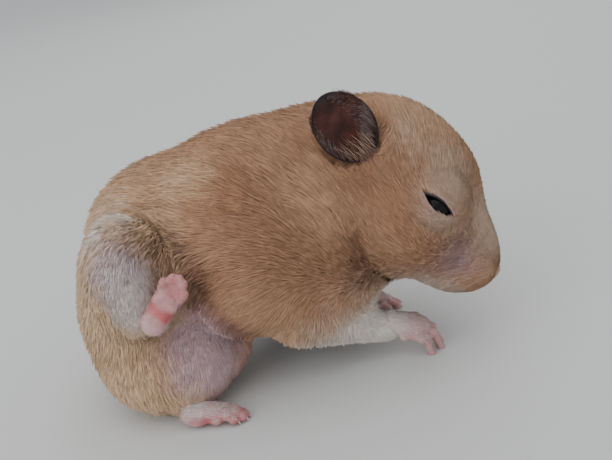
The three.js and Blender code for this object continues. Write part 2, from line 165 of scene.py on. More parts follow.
def rod(p, a, b, ra, rb):
    """Round-ended rod whose radius runs from ra at a to rb at b."""
    a, b = (np.asarray(v, p.dtype) for v in (a, b))
    along = b - a
    t = np.clip(((p - a) @ along) / (along @ along), 0, 1)
    away = p - a - t[..., None] * along
    return np.sqrt((away * away).sum(-1)) - (ra + (rb - ra) * t)


def fuse(soft, *fields):
    """The smaller of the fields, with a fillet about `soft` across where two meet."""
    low = fields[0]
    for field in fields[1:]:
        h = np.maximum(soft - np.abs(low - field), 0) / soft
        low = np.minimum(low, field) - h * h * soft / 4
    return low


def smooth(x):
    """0 to 1 as x runs from 0 to 1, level at both ends."""
    x = np.clip(x, 0, 1)
    return x * x * (3 - 2 * x)


def near(p, at, radii):
    """1 in the middle of an ellipsoid and 0 from its edge outwards."""
    q = (p - np.asarray(at, float)) / np.asarray(radii, float)
    return smooth(1 - np.sqrt((q * q).sum(-1)))


def head_tips(p):
    q = in_head(p)
    sides = [egg(q, on_side(CHEEK, s)) for s in (1, -1)]
    lids = [egg(q, on_side((EYE_AT, [EYE_RADIUS + LID] * 3), s)) for s in (1, -1)]
    skull = [egg(q, lump) for lump in (CRANIUM, FOREHEAD, BRIDGE, MUZZLE, CHIN)]
    return fuse(HEAD_BLEND, *skull, sides[0], lids[0], sides[1], lids[1])


def coat_tips(p):
    """The distance from the tips of the whole coat: the same joined lumps as the solids, with
    wider fillets where fur fills their creases."""
    fore = fuse(FRONT_BLEND, *(egg(p, l) for l in (RIBCAGE, SHOULDER, NAPE, FLANK, LOIN, BRISKET)))
    fore = fuse(FRONT_BLEND, fore, egg(p, NECK), egg(p, CROUP))
    hind = (CROUP, PELVIS, BUTTOCK, THIGH, LEFT_HAUNCH, GROIN)
    hind = fuse(HIND_BLEND, *(egg(p, lump) for lump in hind))
    body = fuse(THROAT_BLEND, fuse(FLANK_CREASE, fore, hind), head_tips(p))
    arms = [rod(p, *ends, *FORELEG_RADII) for ends in (RIGHT_FORELEG, LEFT_FORELEG)]
    body = fuse(FORELEG_BLEND, body, *arms)
    return fuse(SHANK_BLEND, body, *(rod(p, *e, *SHANK_RADII) for e in (RIGHT_SHANK, LEFT_SHANK)))


# Where the coat is short: middle, reach in each direction, and depth there.
SHORT_COAT = (
    ((-46, -9, 22), (17, 18, 24), 2.1),  # the buttock
    ((-27, -12, 18), (17, 16, 19), 1.1),  # the belly and groin
    ((-41, -21, 37), (12, 12, 15), 1.3),  # inside the right thigh
    ((-39, -21, 28), (9, 9, 9), 0.8),  # the right ankle
    ((-33, -19, 4), (9, 8, 8), 0.6),  # the left ankle
    ((17, -7, 8.5), (12, 9, 9), 0.75),  # the right wrist
    ((8, 21, 4.5), (10, 9, 8), 0.55),  # the left wrist
)
HEAD_DEPTHS = ((-18, 3, 14, 22, 28, 33), (2.5, 2.0, 1.45, 0.95, 0.5, 0.3))  # along the head
LID_DEPTH = 0.4
LIDS_REACH = 7.6  # how far from the eye's middle the lids can reach


def coat_depth(p):
    """How deep the coat is: full on the trunk, thinning along the head to the nose."""
    depth = np.full(p.shape[:-1], bpy.context.scene.hamster.coat_depth / MM)
    for at, reach, value in SHORT_COAT:
        depth += (value - depth) * np.sqrt(near(p, at, reach))
    q = either_side(p)
    head = np.interp(q[..., 0], *HEAD_DEPTHS)
    depth += (np.minimum(head, depth) - depth) * smooth((q[..., 0] + 18) / 14)
    lids = smooth((8.3 - eye_distance(q)) / 3.4)
    return depth + (LID_DEPTH - depth) * lids


def skin_level(p):
    return coat_tips(p) + coat_depth(p)


def gradient(field, p, step=0.02):
    """The slope of a field along each axis, by a small step each way."""
    steps = np.eye(3, dtype=p.dtype) * step
    return np.stack([(field(p + d) - field(p - d)) / (2 * step) for d in steps], -1)


def settle(field, p, level=0.0, passes=3):
    """Points moved along the slope until the field has the given level there."""
    for _ in range(passes):
        slope = gradient(field, p, 0.04)
        move = np.clip(field(p) - level, -2, 2) / np.maximum((slope * slope).sum(-1), 0.25)
        p = p - move[:, None] * slope
    return p


def unit(v):
    return v / np.maximum(np.linalg.norm(v, axis=-1, keepdims=True), 1e-9)


def flat_on(way, normal):
    """Ways laid flat on a surface, one long."""
    return unit(way - (way * normal).sum(-1, keepdims=True) * normal)


# ---- a net of quadrilaterals round a field's zero surface -----------------------------------
def net(field, low, high, cell, passes=2):
    """One vertex in each cell that the surface crosses, at the mean of its crossings, and one
    quadrilateral round each grid edge that it crosses. The outermost samples are outside."""
    counts = [int(math.ceil((h - l) / cell)) + 1 for l, h in zip(low, high)]
    axes = [np.arange(n) * cell + l for n, l in zip(counts, low)]
    value = np.empty(counts, np.float32)
    for i, x in enumerate(axes[0]):
        plane = np.stack(np.meshgrid([x], axes[1], axes[2], indexing="ij"), -1)[0]
        value[i] = field(plane)
    for axis in range(3):
        edge = np.moveaxis(value, axis, 0)
        edge[0] = edge[-1] = cell
    inside = value < 0
    cells = tuple(n - 1 for n in counts)
    total = np.zeros(cells + (3,), np.float32)
    hits = np.zeros(cells, np.int8)
    quads = []
    number = np.full(cells, -1, np.int64)

    def part(array, start, stop_short):
        return array[tuple(slice(s, n - t) for s, n, t in zip(start, array.shape, stop_short))]

    for axis in range(3):
        ahead = [int(a == axis) for a in range(3)]
        a, b = part(value, (0, 0, 0), ahead), part(value, ahead, (0, 0, 0))
        cross = part(inside, (0, 0, 0), ahead) != part(inside, ahead, (0, 0, 0))
        share = np.where(cross, a / np.where(cross, a - b, 1), 0).astype(np.float32)
        sides = [o for o in range(3) if o != axis]
        for corner in ((0, 0), (0, 1), (1, 0), (1, 1)):
            start = [0, 0, 0]
            for side, far in zip(sides, corner):
                start[side] = far
            stop = [0 if o == axis else 1 - start[o] for o in range(3)]
            here, where = part(cross, start, stop), part(share, start, stop)
            hits += here
            for o in range(3):
                total[..., o] += here * (where if o == axis else start[o])
    active = hits > 0
    number[active] = np.arange(active.sum())
    at = np.stack(np.nonzero(active), -1) + total[active] / hits[active][:, None]
    points = at * cell + np.asarray(low)

    for axis in range(3):
        ahead = [int(a == axis) for a in range(3)]
        cross = part(inside, (0, 0, 0), ahead) != part(inside, ahead, (0, 0, 0))
        where = np.stack(np.nonzero(cross), -1)
        b, c = (axis + 1) % 3, (axis + 2) % 3
        step_b, step_c = np.eye(3, dtype=int)[b], np.eye(3, dtype=int)[c]
        around = (step_b + step_c, step_c, 0 * step_b, step_b)
        ring = np.stack([number[tuple((where - s).T)] for s in around], -1)
        leaving = inside[tuple(where.T)]
        ring[~leaving] = ring[~leaving][:, ::-1]
        quads.append(ring)
    if passes:
        points = settle(field, points, 0.0, passes)
    return points, np.concatenate(quads)


# ---- meshes ---------------------------------------------------------------------------------
def make_mesh(name, points, faces, colour=None, uv=None, material=None, level=True, normals=None):
    """A mesh object from points in millimetres and triangles or quadrilaterals, whole arrays at
    a time. Colour is a value for each point, and uv a place for each point."""
    mesh = bpy.data.meshes.new(name)
    faces = [np.asarray(f, np.int32) for f in (faces if isinstance(faces, list) else [faces])]
    loops = np.concatenate([f.ravel() for f in faces])
    totals = np.concatenate([np.full(len(f), f.shape[1], np.int32) for f in faces])
    starts = np.concatenate(([0], totals.cumsum()[:-1])).astype(np.int32)
    placed = (np.asarray(points, float) + SHIFT) * MM
    mesh.vertices.add(len(points))
    mesh.vertices.foreach_set("co", placed.astype(np.float32).ravel())
    mesh.loops.add(len(loops))
    mesh.loops.foreach_set("vertex_index", loops)
    mesh.polygons.add(len(totals))
    mesh.polygons.foreach_set("loop_start", starts)
    mesh.polygons.foreach_set("loop_total", totals)
    mesh.polygons.foreach_set("use_smooth", np.full(len(totals), level))
    mesh.update(calc_edges=True)
    if colour is not None:
        attribute = mesh.color_attributes.new(name="Markings", type="FLOAT_COLOR", domain="POINT")
        rgba = np.ones((len(points), 4), np.float32)
        rgba[:, :3] = colour
        attribute.data.foreach_set("color", rgba.ravel())
    if uv is not None:
        layer = mesh.uv_layers.new(name="OFBake")
        layer.data.foreach_set("uv", np.asarray(uv, np.float32)[loops].ravel())
    if normals is not None:
        held = mesh.attributes.new("custom_normal", "FLOAT_VECTOR", "POINT")
        held.data.foreach_set("vector", np.asarray(normals, np.float32).ravel())
        mesh.update()
    piece = bpy.data.objects.new(name, mesh)
    bpy.context.scene.collection.objects.link(piece)
    if material:
        mesh.materials.append(material)
    return piece


def dress(piece, slot, *nodes):
    """The piece rides on the body and stands for the nodes, whose parts it hides. The slot is not
    used.
    """
    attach(piece, "root")
    if nodes:
        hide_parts(*nodes)
    return piece


def grid_faces(rows, columns, wrap=False):
    """Quadrilaterals of a grid of rows by columns of points, closed round the columns if asked."""
    n = np.arange(rows * columns).reshape(rows, columns)
    if wrap:
        n = np.concatenate((n, n[:, :1]), 1)
    return np.stack((n[:-1, :-1], n[:-1, 1:], n[1:, 1:], n[1:, :-1]), -1).reshape(-1, 4)


def stitched(parts):
    """Several (points, faces) sets as one, with the faces renumbered."""
    points, faces = zip(*parts)
    starts = np.cumsum([0] + [len(p) for p in points[:-1]])
    return np.concatenate(points), np.concatenate([f + s for f, s in zip(faces, starts)])


def tube_points(line, radius, across, up, sides, flat=1.0):
    """Rings of points square to a line, of a radius at each, narrowed across by a share."""
    turn = np.linspace(0, 2 * math.pi, sides, endpoint=False)[None, :, None]
    ring = flat * np.cos(turn) * across + np.sin(turn) * up
    return (line[:, None] + radius[..., None] * ring).reshape(-1, 3)


def tube_faces(count, rings, sides, outwards):
    """Quadrilaterals and end caps of so many tubes, wound one way or the other."""
    first = rings * sides * np.arange(count)[:, None]
    walls = (grid_faces(rings, sides, wrap=True)[None] + first[..., None]).reshape(-1, 4)
    near_end, far_end = np.arange(sides)[::-1], np.arange(sides) + (rings - 1) * sides
    return [faces[:, ::outwards] for faces in (walls, first + near_end, first + far_end)]


# ---- smooth noise ---------------------------------------------------------------------------
def waves(p, size, seed, count=10):
    """Smooth noise from about -1 to 1: the mean of waves in random directions, `size` apart."""
    rng = np.random.default_rng(seed)
    ways = unit(rng.normal(size=(count, 3))) * (2 * math.pi / size)
    ways = ways * rng.uniform(0.6, 1.5, (count, 1))
    starts = rng.uniform(0, 2 * math.pi, count)
    total = np.zeros(len(p))
    for way, start in zip(ways, starts):
        total += np.sin(p @ way + start)
    return total * math.sqrt(2 / count) * 0.7


def wave_vectors(p, size, seed):
    return np.stack([waves(p, size, seed + n) for n in range(3)], -1)


# ---- markings: the same on skin and coat ------------------------------------------------------
# Patches of the coat on the trunk and, in the head's frame, on either side of the head: the name
# of the colour, the middle, the reach, how much of it there is and how sharply it starts.
TRUNK_PATCHES = (
    # Painted shade: the next three patches darken the coat in the fold under the flank's border,
    # in the fold above the knee and under the jaw, where shade falls.
    ("painted_shade", (-25.5, -15, 34), (10, 10, 17), 0.9, 1.3),  # under the flank's border
    ("painted_shade", (-31, -12.5, 42), (7, 8, 8), 0.85, 1.2),  # above the knee
    ("painted_shade", (13, -12, 29), (8, 8, 9), 0.3, 1.2),  # under the jaw
    ("cream", (-43, -7, 49), (12, 14, 9), 0.85, 1.2),  # top of the rump and knee
    ("pale_gold", (-22, -7, 53), (13, 12, 8), 0.8, 1.1),  # the loin
    ("deep_gold", (-11, -13, 48.5), (10, 11, 9), 0.6, 1.1),  # behind the shoulder
    ("bright_gold", (6, -12, 42), (12, 11, 15), 0.9, 1.3),  # the shoulder
    ("bright_gold", (-1, -8, 55), (10, 10, 9), 0.3, 1.1),  # the nape
    ("bright_gold", (-10, -19, 27), (13, 9, 9), 0.35, 1.1),  # low on the flank
    ("pale_gold", (-8, -18, 18), (15, 9, 7), 0.7, 1.1),  # above the elbow
    ("pale_gold", (-50, -17, 34), (8, 11, 15), 0.8, 1.2),  # edge of the thigh
    ("thigh", (-40.5, -20, 41.5), (11, 13, 14), 0.9, 1.3),  # inside the right thigh
    ("ankle", (-40, -21, 33), (9.5, 11, 11), 0.9, 1.3),  # over the right ankle
    ("belly", (-27, -15, 17), (16, 15, 17), 1.0, 1.4),
    # Painted shade where the flank meets the belly, in the fold under the flank.
    ("painted_shade", (-19, -16, 20.5), (12, 10, 9), 0.7, 1.2),  # where the flank meets the belly
    ("cream", (15, -8.5, 9), (17, 12, 12), 1.0, 1.3),  # the right wrist
    ("cream", (6, 21, 5), (16, 12, 10), 1.0, 1.4),  # the left wrist
)
HEAD_PATCHES = (
    ("pale_gold", (-2, 8, 9), (16, 14, 12), 0.45, 1.1),  # the forehead
    ("deep_gold", (1, 16, -12), (17, 12, 11), 0.45, 1.2),  # the cheek
    ("brow", (-2, 15, 2), (11, 9, 8), 0.6, 1.1),  # the temple
    ("brow", (10.5, 13, 1), (13, 11, 12), 0.7, 1.1),  # the brow
    ("brow", (24, 4, -4), (14, 13, 12), 0.85, 1.2),  # the bridge
    ("brow", (12, 13, -9), (9, 8, 7), 0.7, 1.1),  # round the eye
    ("thigh", (10.8, 14.5, -6.4), (7.2, 6, 4.2), 0.55, 1.2),  # thin fur beside the lids
    ("jaw", (20, 3, -21), (16, 13, 8), 0.9, 1.3),  # under the muzzle
    ("muzzle", (22, 9.5, -13), (10, 8, 8), 0.75, 1.0),  # the whisker pads
)


def mixed(colour, to, amount):
    """The colours moved towards another by an amount from 0 to 1 at each point."""
    return colour + (np.array(to) - colour) * np.clip(amount, 0, 1)[:, None]


def markings(p):
    """The colour of the coat at each point: gold, paler over the rump and cream on the wrists
    and forearms, with soft-edged patches laid over it in turn."""
    s = bpy.context.scene.hamster
    colour = np.ones((len(p), 3)) * np.array(s.gold)
    p = p + 1.0 * wave_vectors(p, 5.0, 120) + 0.7 * wave_vectors(p, 1.6, 130)
    ahead, across, height = p.T
    rump = 0.9 * smooth((-14 - ahead) / 26) * smooth((56 - height) / 30 + 0.4)
    colour = mixed(colour, s.pale_gold, rump)
    arm = smooth((ahead + 12) / 9) * smooth((20 - ahead) / 5) * smooth((6 - across) / 6)
    slant = 0.3 * np.clip(ahead, -6, 12)
    colour = mixed(colour, s.cream, 0.5 * arm * smooth((25 - height + slant) / 12))
    colour = mixed(colour, s.cream, arm * smooth((19 - height + slant) / 9))
    colour = mixed(colour, s.cream, 0.8 * smooth((8 - height) / 8))
    for patches, at in ((HEAD_PATCHES, either_side(p)), (TRUNK_PATCHES, p)):
        for name, middle, reach, most, edge in patches:
            amount = most * smooth(edge * near(at, middle, reach))
            colour = mixed(colour, getattr(s, name), amount)
    return colour


# ---- the lie of the coat: strokes of a comb, each a place and the way the hair lies there -------
MIDDLE = 7.0  # the trunk's strokes are laid on its right side and mirrored about this y
TRUNK_STROKES = (
    ((9, -14, 36), (-0.5, 0.2, 0.8)),  # behind the jaw
    ((9, -11, 46), (-0.65, 0.1, 0.75)),  # side of the neck
    ((1, -15, 42), (-0.75, 0, 0.65)),  # shoulder
    ((0, -18, 34), (-0.8, -0.1, 0.55)),
    ((7, -17, 29), (-0.7, -0.2, 0.65)),
    ((-5, -10, 53), (-0.8, 0.35, 0.5)),  # upper back
    ((3, -2, 59), (-0.8, 0.5, 0.25)),  # nape
    ((3, 7, 61), (-1, 0, 0)),
    ((-10, 7, 62), (-1, 0, 0)),  # along the spine
    ((-30, 7, 55), (-1, 0, -0.3)),
    ((-50, 7, 40), (-0.4, 0, -0.9)),
    ((-57, 2, 22), (0, 0.1, -1)),  # down the rump
    ((-16, -3, 58), (-0.87, 0.45, 0.1)),
    ((-12, -18, 43), (-0.9, 0.2, 0.4)),  # flank
    ((-12, -21, 31), (-0.95, 0, -0.25)),
    ((-25, -13, 44), (-0.8, 0.6, 0.1)),
    ((-21, -18, 36), (-0.85, 0.3, -0.4)),
    ((-17, -21, 28), (-0.65, 0.25, -0.7)),  # lower border of the flank
    ((-33, -2, 51), (-0.9, 0.4, -0.1)),
    ((-44, 1, 48), (-0.8, 0.1, -0.55)),
    ((-46, -9, 46), (-0.85, -0.4, -0.3)),
    ((-4, -19, 23), (-0.6, 0.15, -0.8)),  # elbow
    ((6, -17, 20), (-0.05, 0.35, -0.95)),  # forearm
    ((-3, -17, 15), (-0.2, 0.25, -0.95)),
    ((13, -11, 11), (0.55, 0, -0.8)),  # wrist
    ((13, -9, 14), (0.7, 0.5, -0.45)),
    ((-48, -17, 40), (-0.2, -0.1, -0.95)),  # thigh
    ((-40, -14, 48), (-0.75, -0.65, -0.1)),
    ((-34, -11, 46), (-0.6, -0.75, 0.2)),
    ((-36, -17, 44), (-0.3, -0.5, -0.5)),
    ((-42, -19, 44), (-0.3, -0.35, -0.9)),
    ((-38, -20, 38), (0.15, -0.1, -1)),
    ((-35, -18, 41), (0.25, -0.1, -1)),
    ((-47, -17, 23), (0.05, -0.1, -1)),  # buttock
    ((-43, -21, 17), (0.1, -0.45, -0.9)),
    ((-37, -23, 10), (0.4, 0.05, -0.9)),
    ((-25, -12, 21), (-0.65, 0.35, -0.7)),  # belly
    ((-26, -15, 28), (-0.3, 0.6, -0.7)),
    ((-33, -22, 15), (0, -0.4, -0.9)),  # groin
    ((0, 7, 2), (-1, 0, 0)),  # under the chest
    ((18, 7, 20), (-0.5, 0, -0.85)),  # throat
)
HEAD_STROKES = (  # in the head's frame, for y towards either side
    ((32, 0, -9), (-0.3, 0, 1)),  # the nose
    ((27, 5, -6), (-0.62, 0, 0.78)),
    ((24, 0, 0), (-0.7, 0, 0.7)),  # the bridge
    ((22, 5, -1), (-0.6, -0.26, 0.76)),
    ((13, 10, 5), (-0.66, 0, 0.75)),  # the brow
    ((12, 0, 10), (-0.8, 0, 0.5)),
    ((2, 10, 9), (-0.6, -0.5, 0.6)),  # the forehead
    ((0, 0, 14), (-1, 0, 0.1)),
    ((-8, 9, 9), (-0.75, -0.6, 0.2)),  # the crown
    ((-10, 0, 12), (-1, 0, -0.3)),
    ((17, 13, -7), (-0.6, 0.4, 0.68)),  # in front of the eye
    ((7, 15, -1), (-0.72, -0.15, 0.68)),  # above it
    ((-3, 15, 1), (-0.72, -0.15, 0.68)),  # the temple
    ((4, 16, -8), (-0.88, -0.1, 0.45)),  # behind the eye
    ((11, 16, -13), (-0.85, 0.3, 0.45)),  # below it
    ((6, 16, -17), (-0.93, 0.1, 0.36)),  # the cheek
    ((-6, 14, -10), (-0.96, 0, 0.29)),  # under the ear
    ((-8, 14, 1), (-0.66, -0.3, 0.68)),  # in front of the ear
    ((11, 13, -20), (-0.94, 0.35, 0)),
    ((21, 10, -12), (-0.85, 0.4, -0.3)),  # the muzzle
    ((27, 7, -14), (-0.72, 0.23, -0.66)),
    ((30, 3, -13), (-0.2, 0.5, -0.85)),
    ((19, 7, -19), (-0.91, 0.1, -0.41)),  # the jaw
    ((20, 0, -21), (-1, 0, -0.1)),
)


def lie(p, normal):
    """The way the hair lies: the strokes weighed by the inverse fourth power of their distance,
    laid flat on the skin, stirred by smooth noise and turned outwards round the eyes and
    ears."""
    total = np.zeros_like(p)
    q = in_head(p)
    for strokes, at, middle, hand, turn in (
        (TRUNK_STROKES, p, MIDDLE, -1, np.eye(3)), (HEAD_STROKES, q, 0.0, 1, HEAD_TURN),
    ):
        across = at[:, 1] - middle
        level = np.ones(len(p))
        mirror = np.stack((level, np.clip(across / 4, -1, 1) * hand, level), -1)
        at = np.stack((at[:, 0], middle + np.abs(across) * hand, at[:, 2]), -1)
        for place, way in strokes:
            away = at - np.array(place, float)
            weight = 1 / ((away * away).sum(-1) + 8) ** 2
            total += weight[:, None] * ((unit(np.array(way, float)) * mirror) @ turn.T)
    way = unit(total) + 0.14 * wave_vectors(p, 7.0, 40)
    for ear in EARS.values():
        e = in_ear(p, ear) - EAR_BOWL[0]
        side, _, *axes = ear_axes(ear)
        beside = 1.8 * smooth((1.75 - np.linalg.norm(e / EAR_BOWL[1], axis=1)) / 0.6)
        out = ((e * (1, 0.6, 0)) @ np.stack(axes)) * (1, side, 1)
        way += beside[:, None] * (unit(out) @ HEAD_TURN.T)
    from_eye = q - EYE_AT * np.stack((np.ones(len(q)), np.sign(q[:, 1]), np.ones(len(q))), -1)
    ring = 1.8 * smooth((8.6 - np.linalg.norm(from_eye, axis=1)) / 3)
    way += ring[:, None] * (unit(from_eye) @ HEAD_TURN.T)
    return flat_on(way, normal)


# ---- nodes and materials --------------------------------------------------------------------
def set_inputs(node, values):
    for name, value in values.items():
        node.inputs[name.replace("_", " ")].default_value = value


def add_node(tree, kind, operation=None, **inputs):
    """A node, with its operation if it has one and values for its inputs by name."""
    node = tree.nodes.new(kind)
    if operation:
        node.operation = operation
    set_inputs(node, inputs)
    return node


def wire(tree, *links):
    """Links, each from a node's output to a node's input."""
    for source, output, target, entry in links:
        tree.links.new(source.outputs[output], target.inputs[entry])


def new_material(name, **inputs):
    """A material, with its node tree and its shader, whose inputs get the values."""
    material = bpy.data.materials.new(name)
    material.use_nodes = True
    shader = material.node_tree.nodes["Principled BSDF"]
    set_inputs(shader, inputs)
    return material, material.node_tree, shader


def mottle_group():
    """A node group: a colour lightened and darkened by fine noise, and that noise's height."""
    group = bpy.data.node_groups.get("Mottle")
    if group:
        return group
    group = bpy.data.node_groups.new("Mottle", "ShaderNodeTree")
    face = group.interface
    face.new_socket("Color", in_out="INPUT", socket_type="NodeSocketColor")
    for name, value in (("Scale", 900.0), ("Amount", 0.15)):
        face.new_socket(name, in_out="INPUT", socket_type="NodeSocketFloat").default_value = value
    face.new_socket("Color", in_out="OUTPUT", socket_type="NodeSocketColor")
    face.new_socket("Height", in_out="OUTPUT", socket_type="NodeSocketFloat")
    into, out = add_node(group, "NodeGroupInput"), add_node(group, "NodeGroupOutput")
    place = add_node(group, "ShaderNodeTexCoord")
    noise = add_node(group, "ShaderNodeTexNoise", Detail=4.0, Roughness=0.6)
    spread = add_node(group, "ShaderNodeMapRange", From_Min=0.3, From_Max=0.7)
    less = add_node(group, "ShaderNodeMath", "SUBTRACT", Value=1.0)
    more = add_node(group, "ShaderNodeMath", "ADD", Value=1.0)
    scaled = add_node(group, "ShaderNodeVectorMath", "SCALE")
    wire(
        group,
        (place, "Object", noise, "Vector"), (into, "Scale", noise, "Scale"),
        (into, "Amount", less, 1), (into, "Amount", more, 1), (noise, "Fac", spread, "Value"),
        (less, 0, spread, "To Min"), (more, 0, spread, "To Max"), (into, "Color", scaled, 0),
        (spread, "Result", scaled, "Scale"), (scaled, "Vector", out, "Color"),
        (noise, "Fac", out, "Height"),
    )
    return group


RELIEF = 0.0003  # metres that full bump stands for


def marked_material(name, scale, amount, bump, roughness, **inputs):
    """A material coloured by the Markings attribute, mottled, with the mottle as fine relief."""
    material, tree, shader = new_material(name, Roughness=roughness, **inputs)
    marks = add_node(tree, "ShaderNodeAttribute")
    marks.attribute_name = "Markings"
    mottle = add_node(tree, "ShaderNodeGroup")
    mottle.node_tree = mottle_group()
    set_inputs(mottle, {"Scale": scale, "Amount": amount})
    wire(tree, (marks, "Color", mottle, "Color"), (mottle, "Color", shader, "Base Color"))
    if bump:
        relief = add_node(tree, "ShaderNodeBump", Strength=bump, Distance=RELIEF)
        wire(tree, (mottle, "Height", relief, "Height"), (relief, "Normal", shader, "Normal"))
    return material


# ---- feet -----------------------------------------------------------------------------------
FOREPAW = dict(
    palm=(8, 6.6, 4.2), digits=4, length=6.2, root=1.35, tip=0.95, spread=40, thumb=0.45, red=0.35
)
HINDFOOT = dict(
    palm=(9.6, 5.9, 4.3), digits=5, length=4.3, root=1.3, tip=0.97, spread=26, thumb=0, red=1
)
DIGIT_END = (1.15, 0.98, 0.95)  # radii of a digit's end, in shares of its tip's
DIGIT_PAD = (1.5, 1.25, 1.15)
HEEL_PAD = (2.0, 1.4, 1.1)
HEEL_PADS = ((0.33, 0.17), (0.2, -0.17))  # places in shares of the palm's length and width
CREASE_AT = 1.45  # how far from a joint or tip its red crease lies

# Each foot's kind, how far its digits droop, its root, where its toes are and which way its
# back faces.
FEET = {
    "forepaw_right": (FOREPAW, 6.2, (16.6, -6.6, 8.8), (25.5, -6.9, 7), (0.2, -0.25, 1)),
    "forepaw_left": (FOREPAW, 1.5, (9, 20.4, 3.8), (18.4, 19.3, 2.4), (0.1, 0.1, 1)),
    "hindfoot_right": (
        HINDFOOT, 1.6, (-36.3, -23.1, 27.5), (-28.5, -21.7, 36.3), (0, 0.93, -0.37),
    ),
    "hindfoot_left": (HINDFOOT, 1.2, (-33.5, -21.5, 2.8), (-21.5, -22, 2.3), (0, 0.2, 0.98)),
}


def foot_frame(foot):
    """The root of a foot and its axes: x to the toes, y across, z out of its back."""
    _, _, root, toes, back = foot
    x = unit(np.subtract(toes, root))
    y = unit(np.cross(back, x))
    return np.array(root, float), np.stack((x, y, np.cross(x, y)), -1)


def digits_of(foot):
    """Knuckle, middle joint and tip of each digit in the foot's frame, fanned over the spread."""
    kind, droop = foot[:2]
    palm_length, palm_width, _ = kind["palm"]
    made = []
    for i in range(kind["digits"]):
        share = 2 * i / (kind["digits"] - 1) - 1
        angle = math.radians(kind["spread"] / 2 * share)
        length = kind["length"] * (1 - 0.22 * share * share)
        knuckle = np.array(
            (palm_length - 1.2 - 1.3 * share**2, share * (palm_width / 2 - kind["root"] * 0.9), 0)
        )
        way = np.array((math.cos(angle), math.sin(angle), 0)) * length
        made.append(
            (knuckle, knuckle + 0.55 * way - (0, 0, 0.3 * droop), knuckle + way - (0, 0, droop))
        )
    if kind["thumb"]:
        root = np.array((palm_length * 0.5, -palm_width * 0.42, -0.4))
        tip = root + (kind["length"] * kind["thumb"], -1.2, -0.9)
        made.append((root, (root + tip) / 2, tip))
    return made


def foot_field(foot):
    """The distance from a foot: palm, heel and pads, digits with swollen joints and tips, and a
    stub of the limb that it grows from."""
    kind = foot[0]
    length, width, thickness = kind["palm"]
    root, axes = foot_frame(foot)
    middle = (kind["root"] + kind["tip"]) / 2

    def field(p):
        q = (p - root) @ axes
        half, wrist = length / 2, kind["thumb"]
        sole = egg(q, ((half, 0, 0), (half + 1.0, width / 2 - 0.15, thickness / 2 - 0.2)))
        heel_radii = thickness * (0.6 + 0.18 * wrist), thickness * 0.42
        heel = rod(q, (0.6 - 2 * wrist, 0, 0.3), (half, 0, 0), *heel_radii)
        digits, pads = [], []
        for knuckle, joint, tip in digits_of(foot):
            near_bone = rod(q, knuckle, joint, kind["root"] * 0.92, middle * 0.84)
            far_bone = rod(q, joint, tip, middle * 0.86, kind["tip"] * 0.8)
            bead = egg(q, (joint, [middle] * 3))
            end = egg(q, (tip - (0.1, 0, 0.25), kind["tip"] * np.array(DIGIT_END)))
            digits.append(fuse(0.5, fuse(0.3, near_bone, far_bone), bead, end))
            pads.append(egg(q, (knuckle - (0.9, 0, 0.28 * thickness), DIGIT_PAD)))
        for ahead, side in HEEL_PADS:
            pads.append(egg(q, ((length * ahead, width * side, -0.33 * thickness), HEEL_PAD)))
        return fuse(0.35, fuse(0.8, fuse(2, sole, heel), *digits), *pads)

    return field


def foot_colour(foot, p):
    """Pink skin, redder in the creases between the pads and paler over the back."""
    s = bpy.context.scene.hamster
    kind = foot[0]
    length, width, thickness = kind["palm"]
    root, axes = foot_frame(foot)
    q = (p - root) @ axes
    colour = np.ones((len(p), 3)) * np.array(s.paw)
    under = smooth(0.6 - 1.5 * q[:, 2] / thickness)
    red = np.exp(-(((q[:, 0] - 0.43 * length) / 2.1) ** 2)) * under
    red = np.maximum(red, 0.6 * smooth((q[:, 0] - 0.55 * length) / 4) * under)
    for knuckle, _, tip in digits_of(foot):
        for at in (knuckle, tip):
            crease = np.exp(-(((np.linalg.norm(q - at, axis=1) - CREASE_AT) / 0.5) ** 2))
            red = np.maximum(red, 0.55 * crease)
    red = kind["red"] * np.clip(red + 0.15 * waves(p, 2.2, 5), 0, 1)
    colour = mixed(colour, s.sole, red)
    wrist = kind["thumb"] * 1.6 * smooth((4 - q[:, 0]) / 4)
    return mixed(colour, s.cream, np.maximum(smooth((q[:, 2] - 0.1) / 1.2) * 0.15, wrist))


# ---- the ears ---------------------------------------------------------------------------------
EAR = dict(length=17.8, width=14, cup=4.4, wall=0.6, root=0.03, roundness=0.46)
EARS = {
    "right": (-1, (-9, 14.6, -4.1), (-0.88, 0.4, 0.28), (-0.3, -0.12, -0.95)),
    "left": (1, (-6.5, 12.6, 3.4), (-0.62, 0.74, 0.26), (-0.3, 0, -0.95)),
}
EAR_BOWL = ((0, 5.0, -0.8), (5.3, 6.3, 4.8))  # the hollow, across, along and outwards


def ear_axes(ear):
    side, root, along, across = ear
    along = unit(np.array(along, float))
    outward = unit(np.cross(across, along))
    return side, np.array(root), np.cross(along, outward), along, outward


def ear_leaf(u, v):
    """The pinna's inner face: u from root to tip, v across. Its half width swells and closes as
    a root of a sine, and it is cupped by a cosine that opens towards the tip."""
    swell = np.sin(math.pi * (EAR["root"] + (1 - EAR["root"]) * np.clip(u, 0, 1)))
    half = 0.955 * EAR["width"] / 2 * np.maximum(swell, 0) ** EAR["roundness"]
    turn = v * math.pi / 2
    closing = np.sqrt(np.clip(1 - u**6, 0, 1))
    depth = EAR["cup"] * (np.cos(turn) * (1 - 0.55 * u) * closing - 1)
    fold = 0.3 * np.sin(turn * 3 + 0.8) * np.sin(math.pi * u) * np.cos(turn)
    outward = -depth - EAR["cup"] + fold
    return np.stack((half * np.sin(turn), 0.97 * EAR["length"] * u, outward), -1)


def ear_place(ear, points):
    side, root, across, along, outward = ear_axes(ear)
    local = root + points[..., :1] * across + points[..., 1:2] * along + points[..., 2:] * outward
    return from_head(local * (1, side, 1))


def in_ear(p, ear):
    """Points in the ear's own frame: across, along and outwards."""
    side, root, *axes = ear_axes(ear)
    return (in_head(p) * (1, side, 1) - root) @ np.stack(axes, -1)


def from_bowl(p, ear):
    """How far points are from the middle of an ear's hollow, in units of its radii."""
    return np.linalg.norm((in_ear(p, ear) - EAR_BOWL[0]) / EAR_BOWL[1], axis=1)


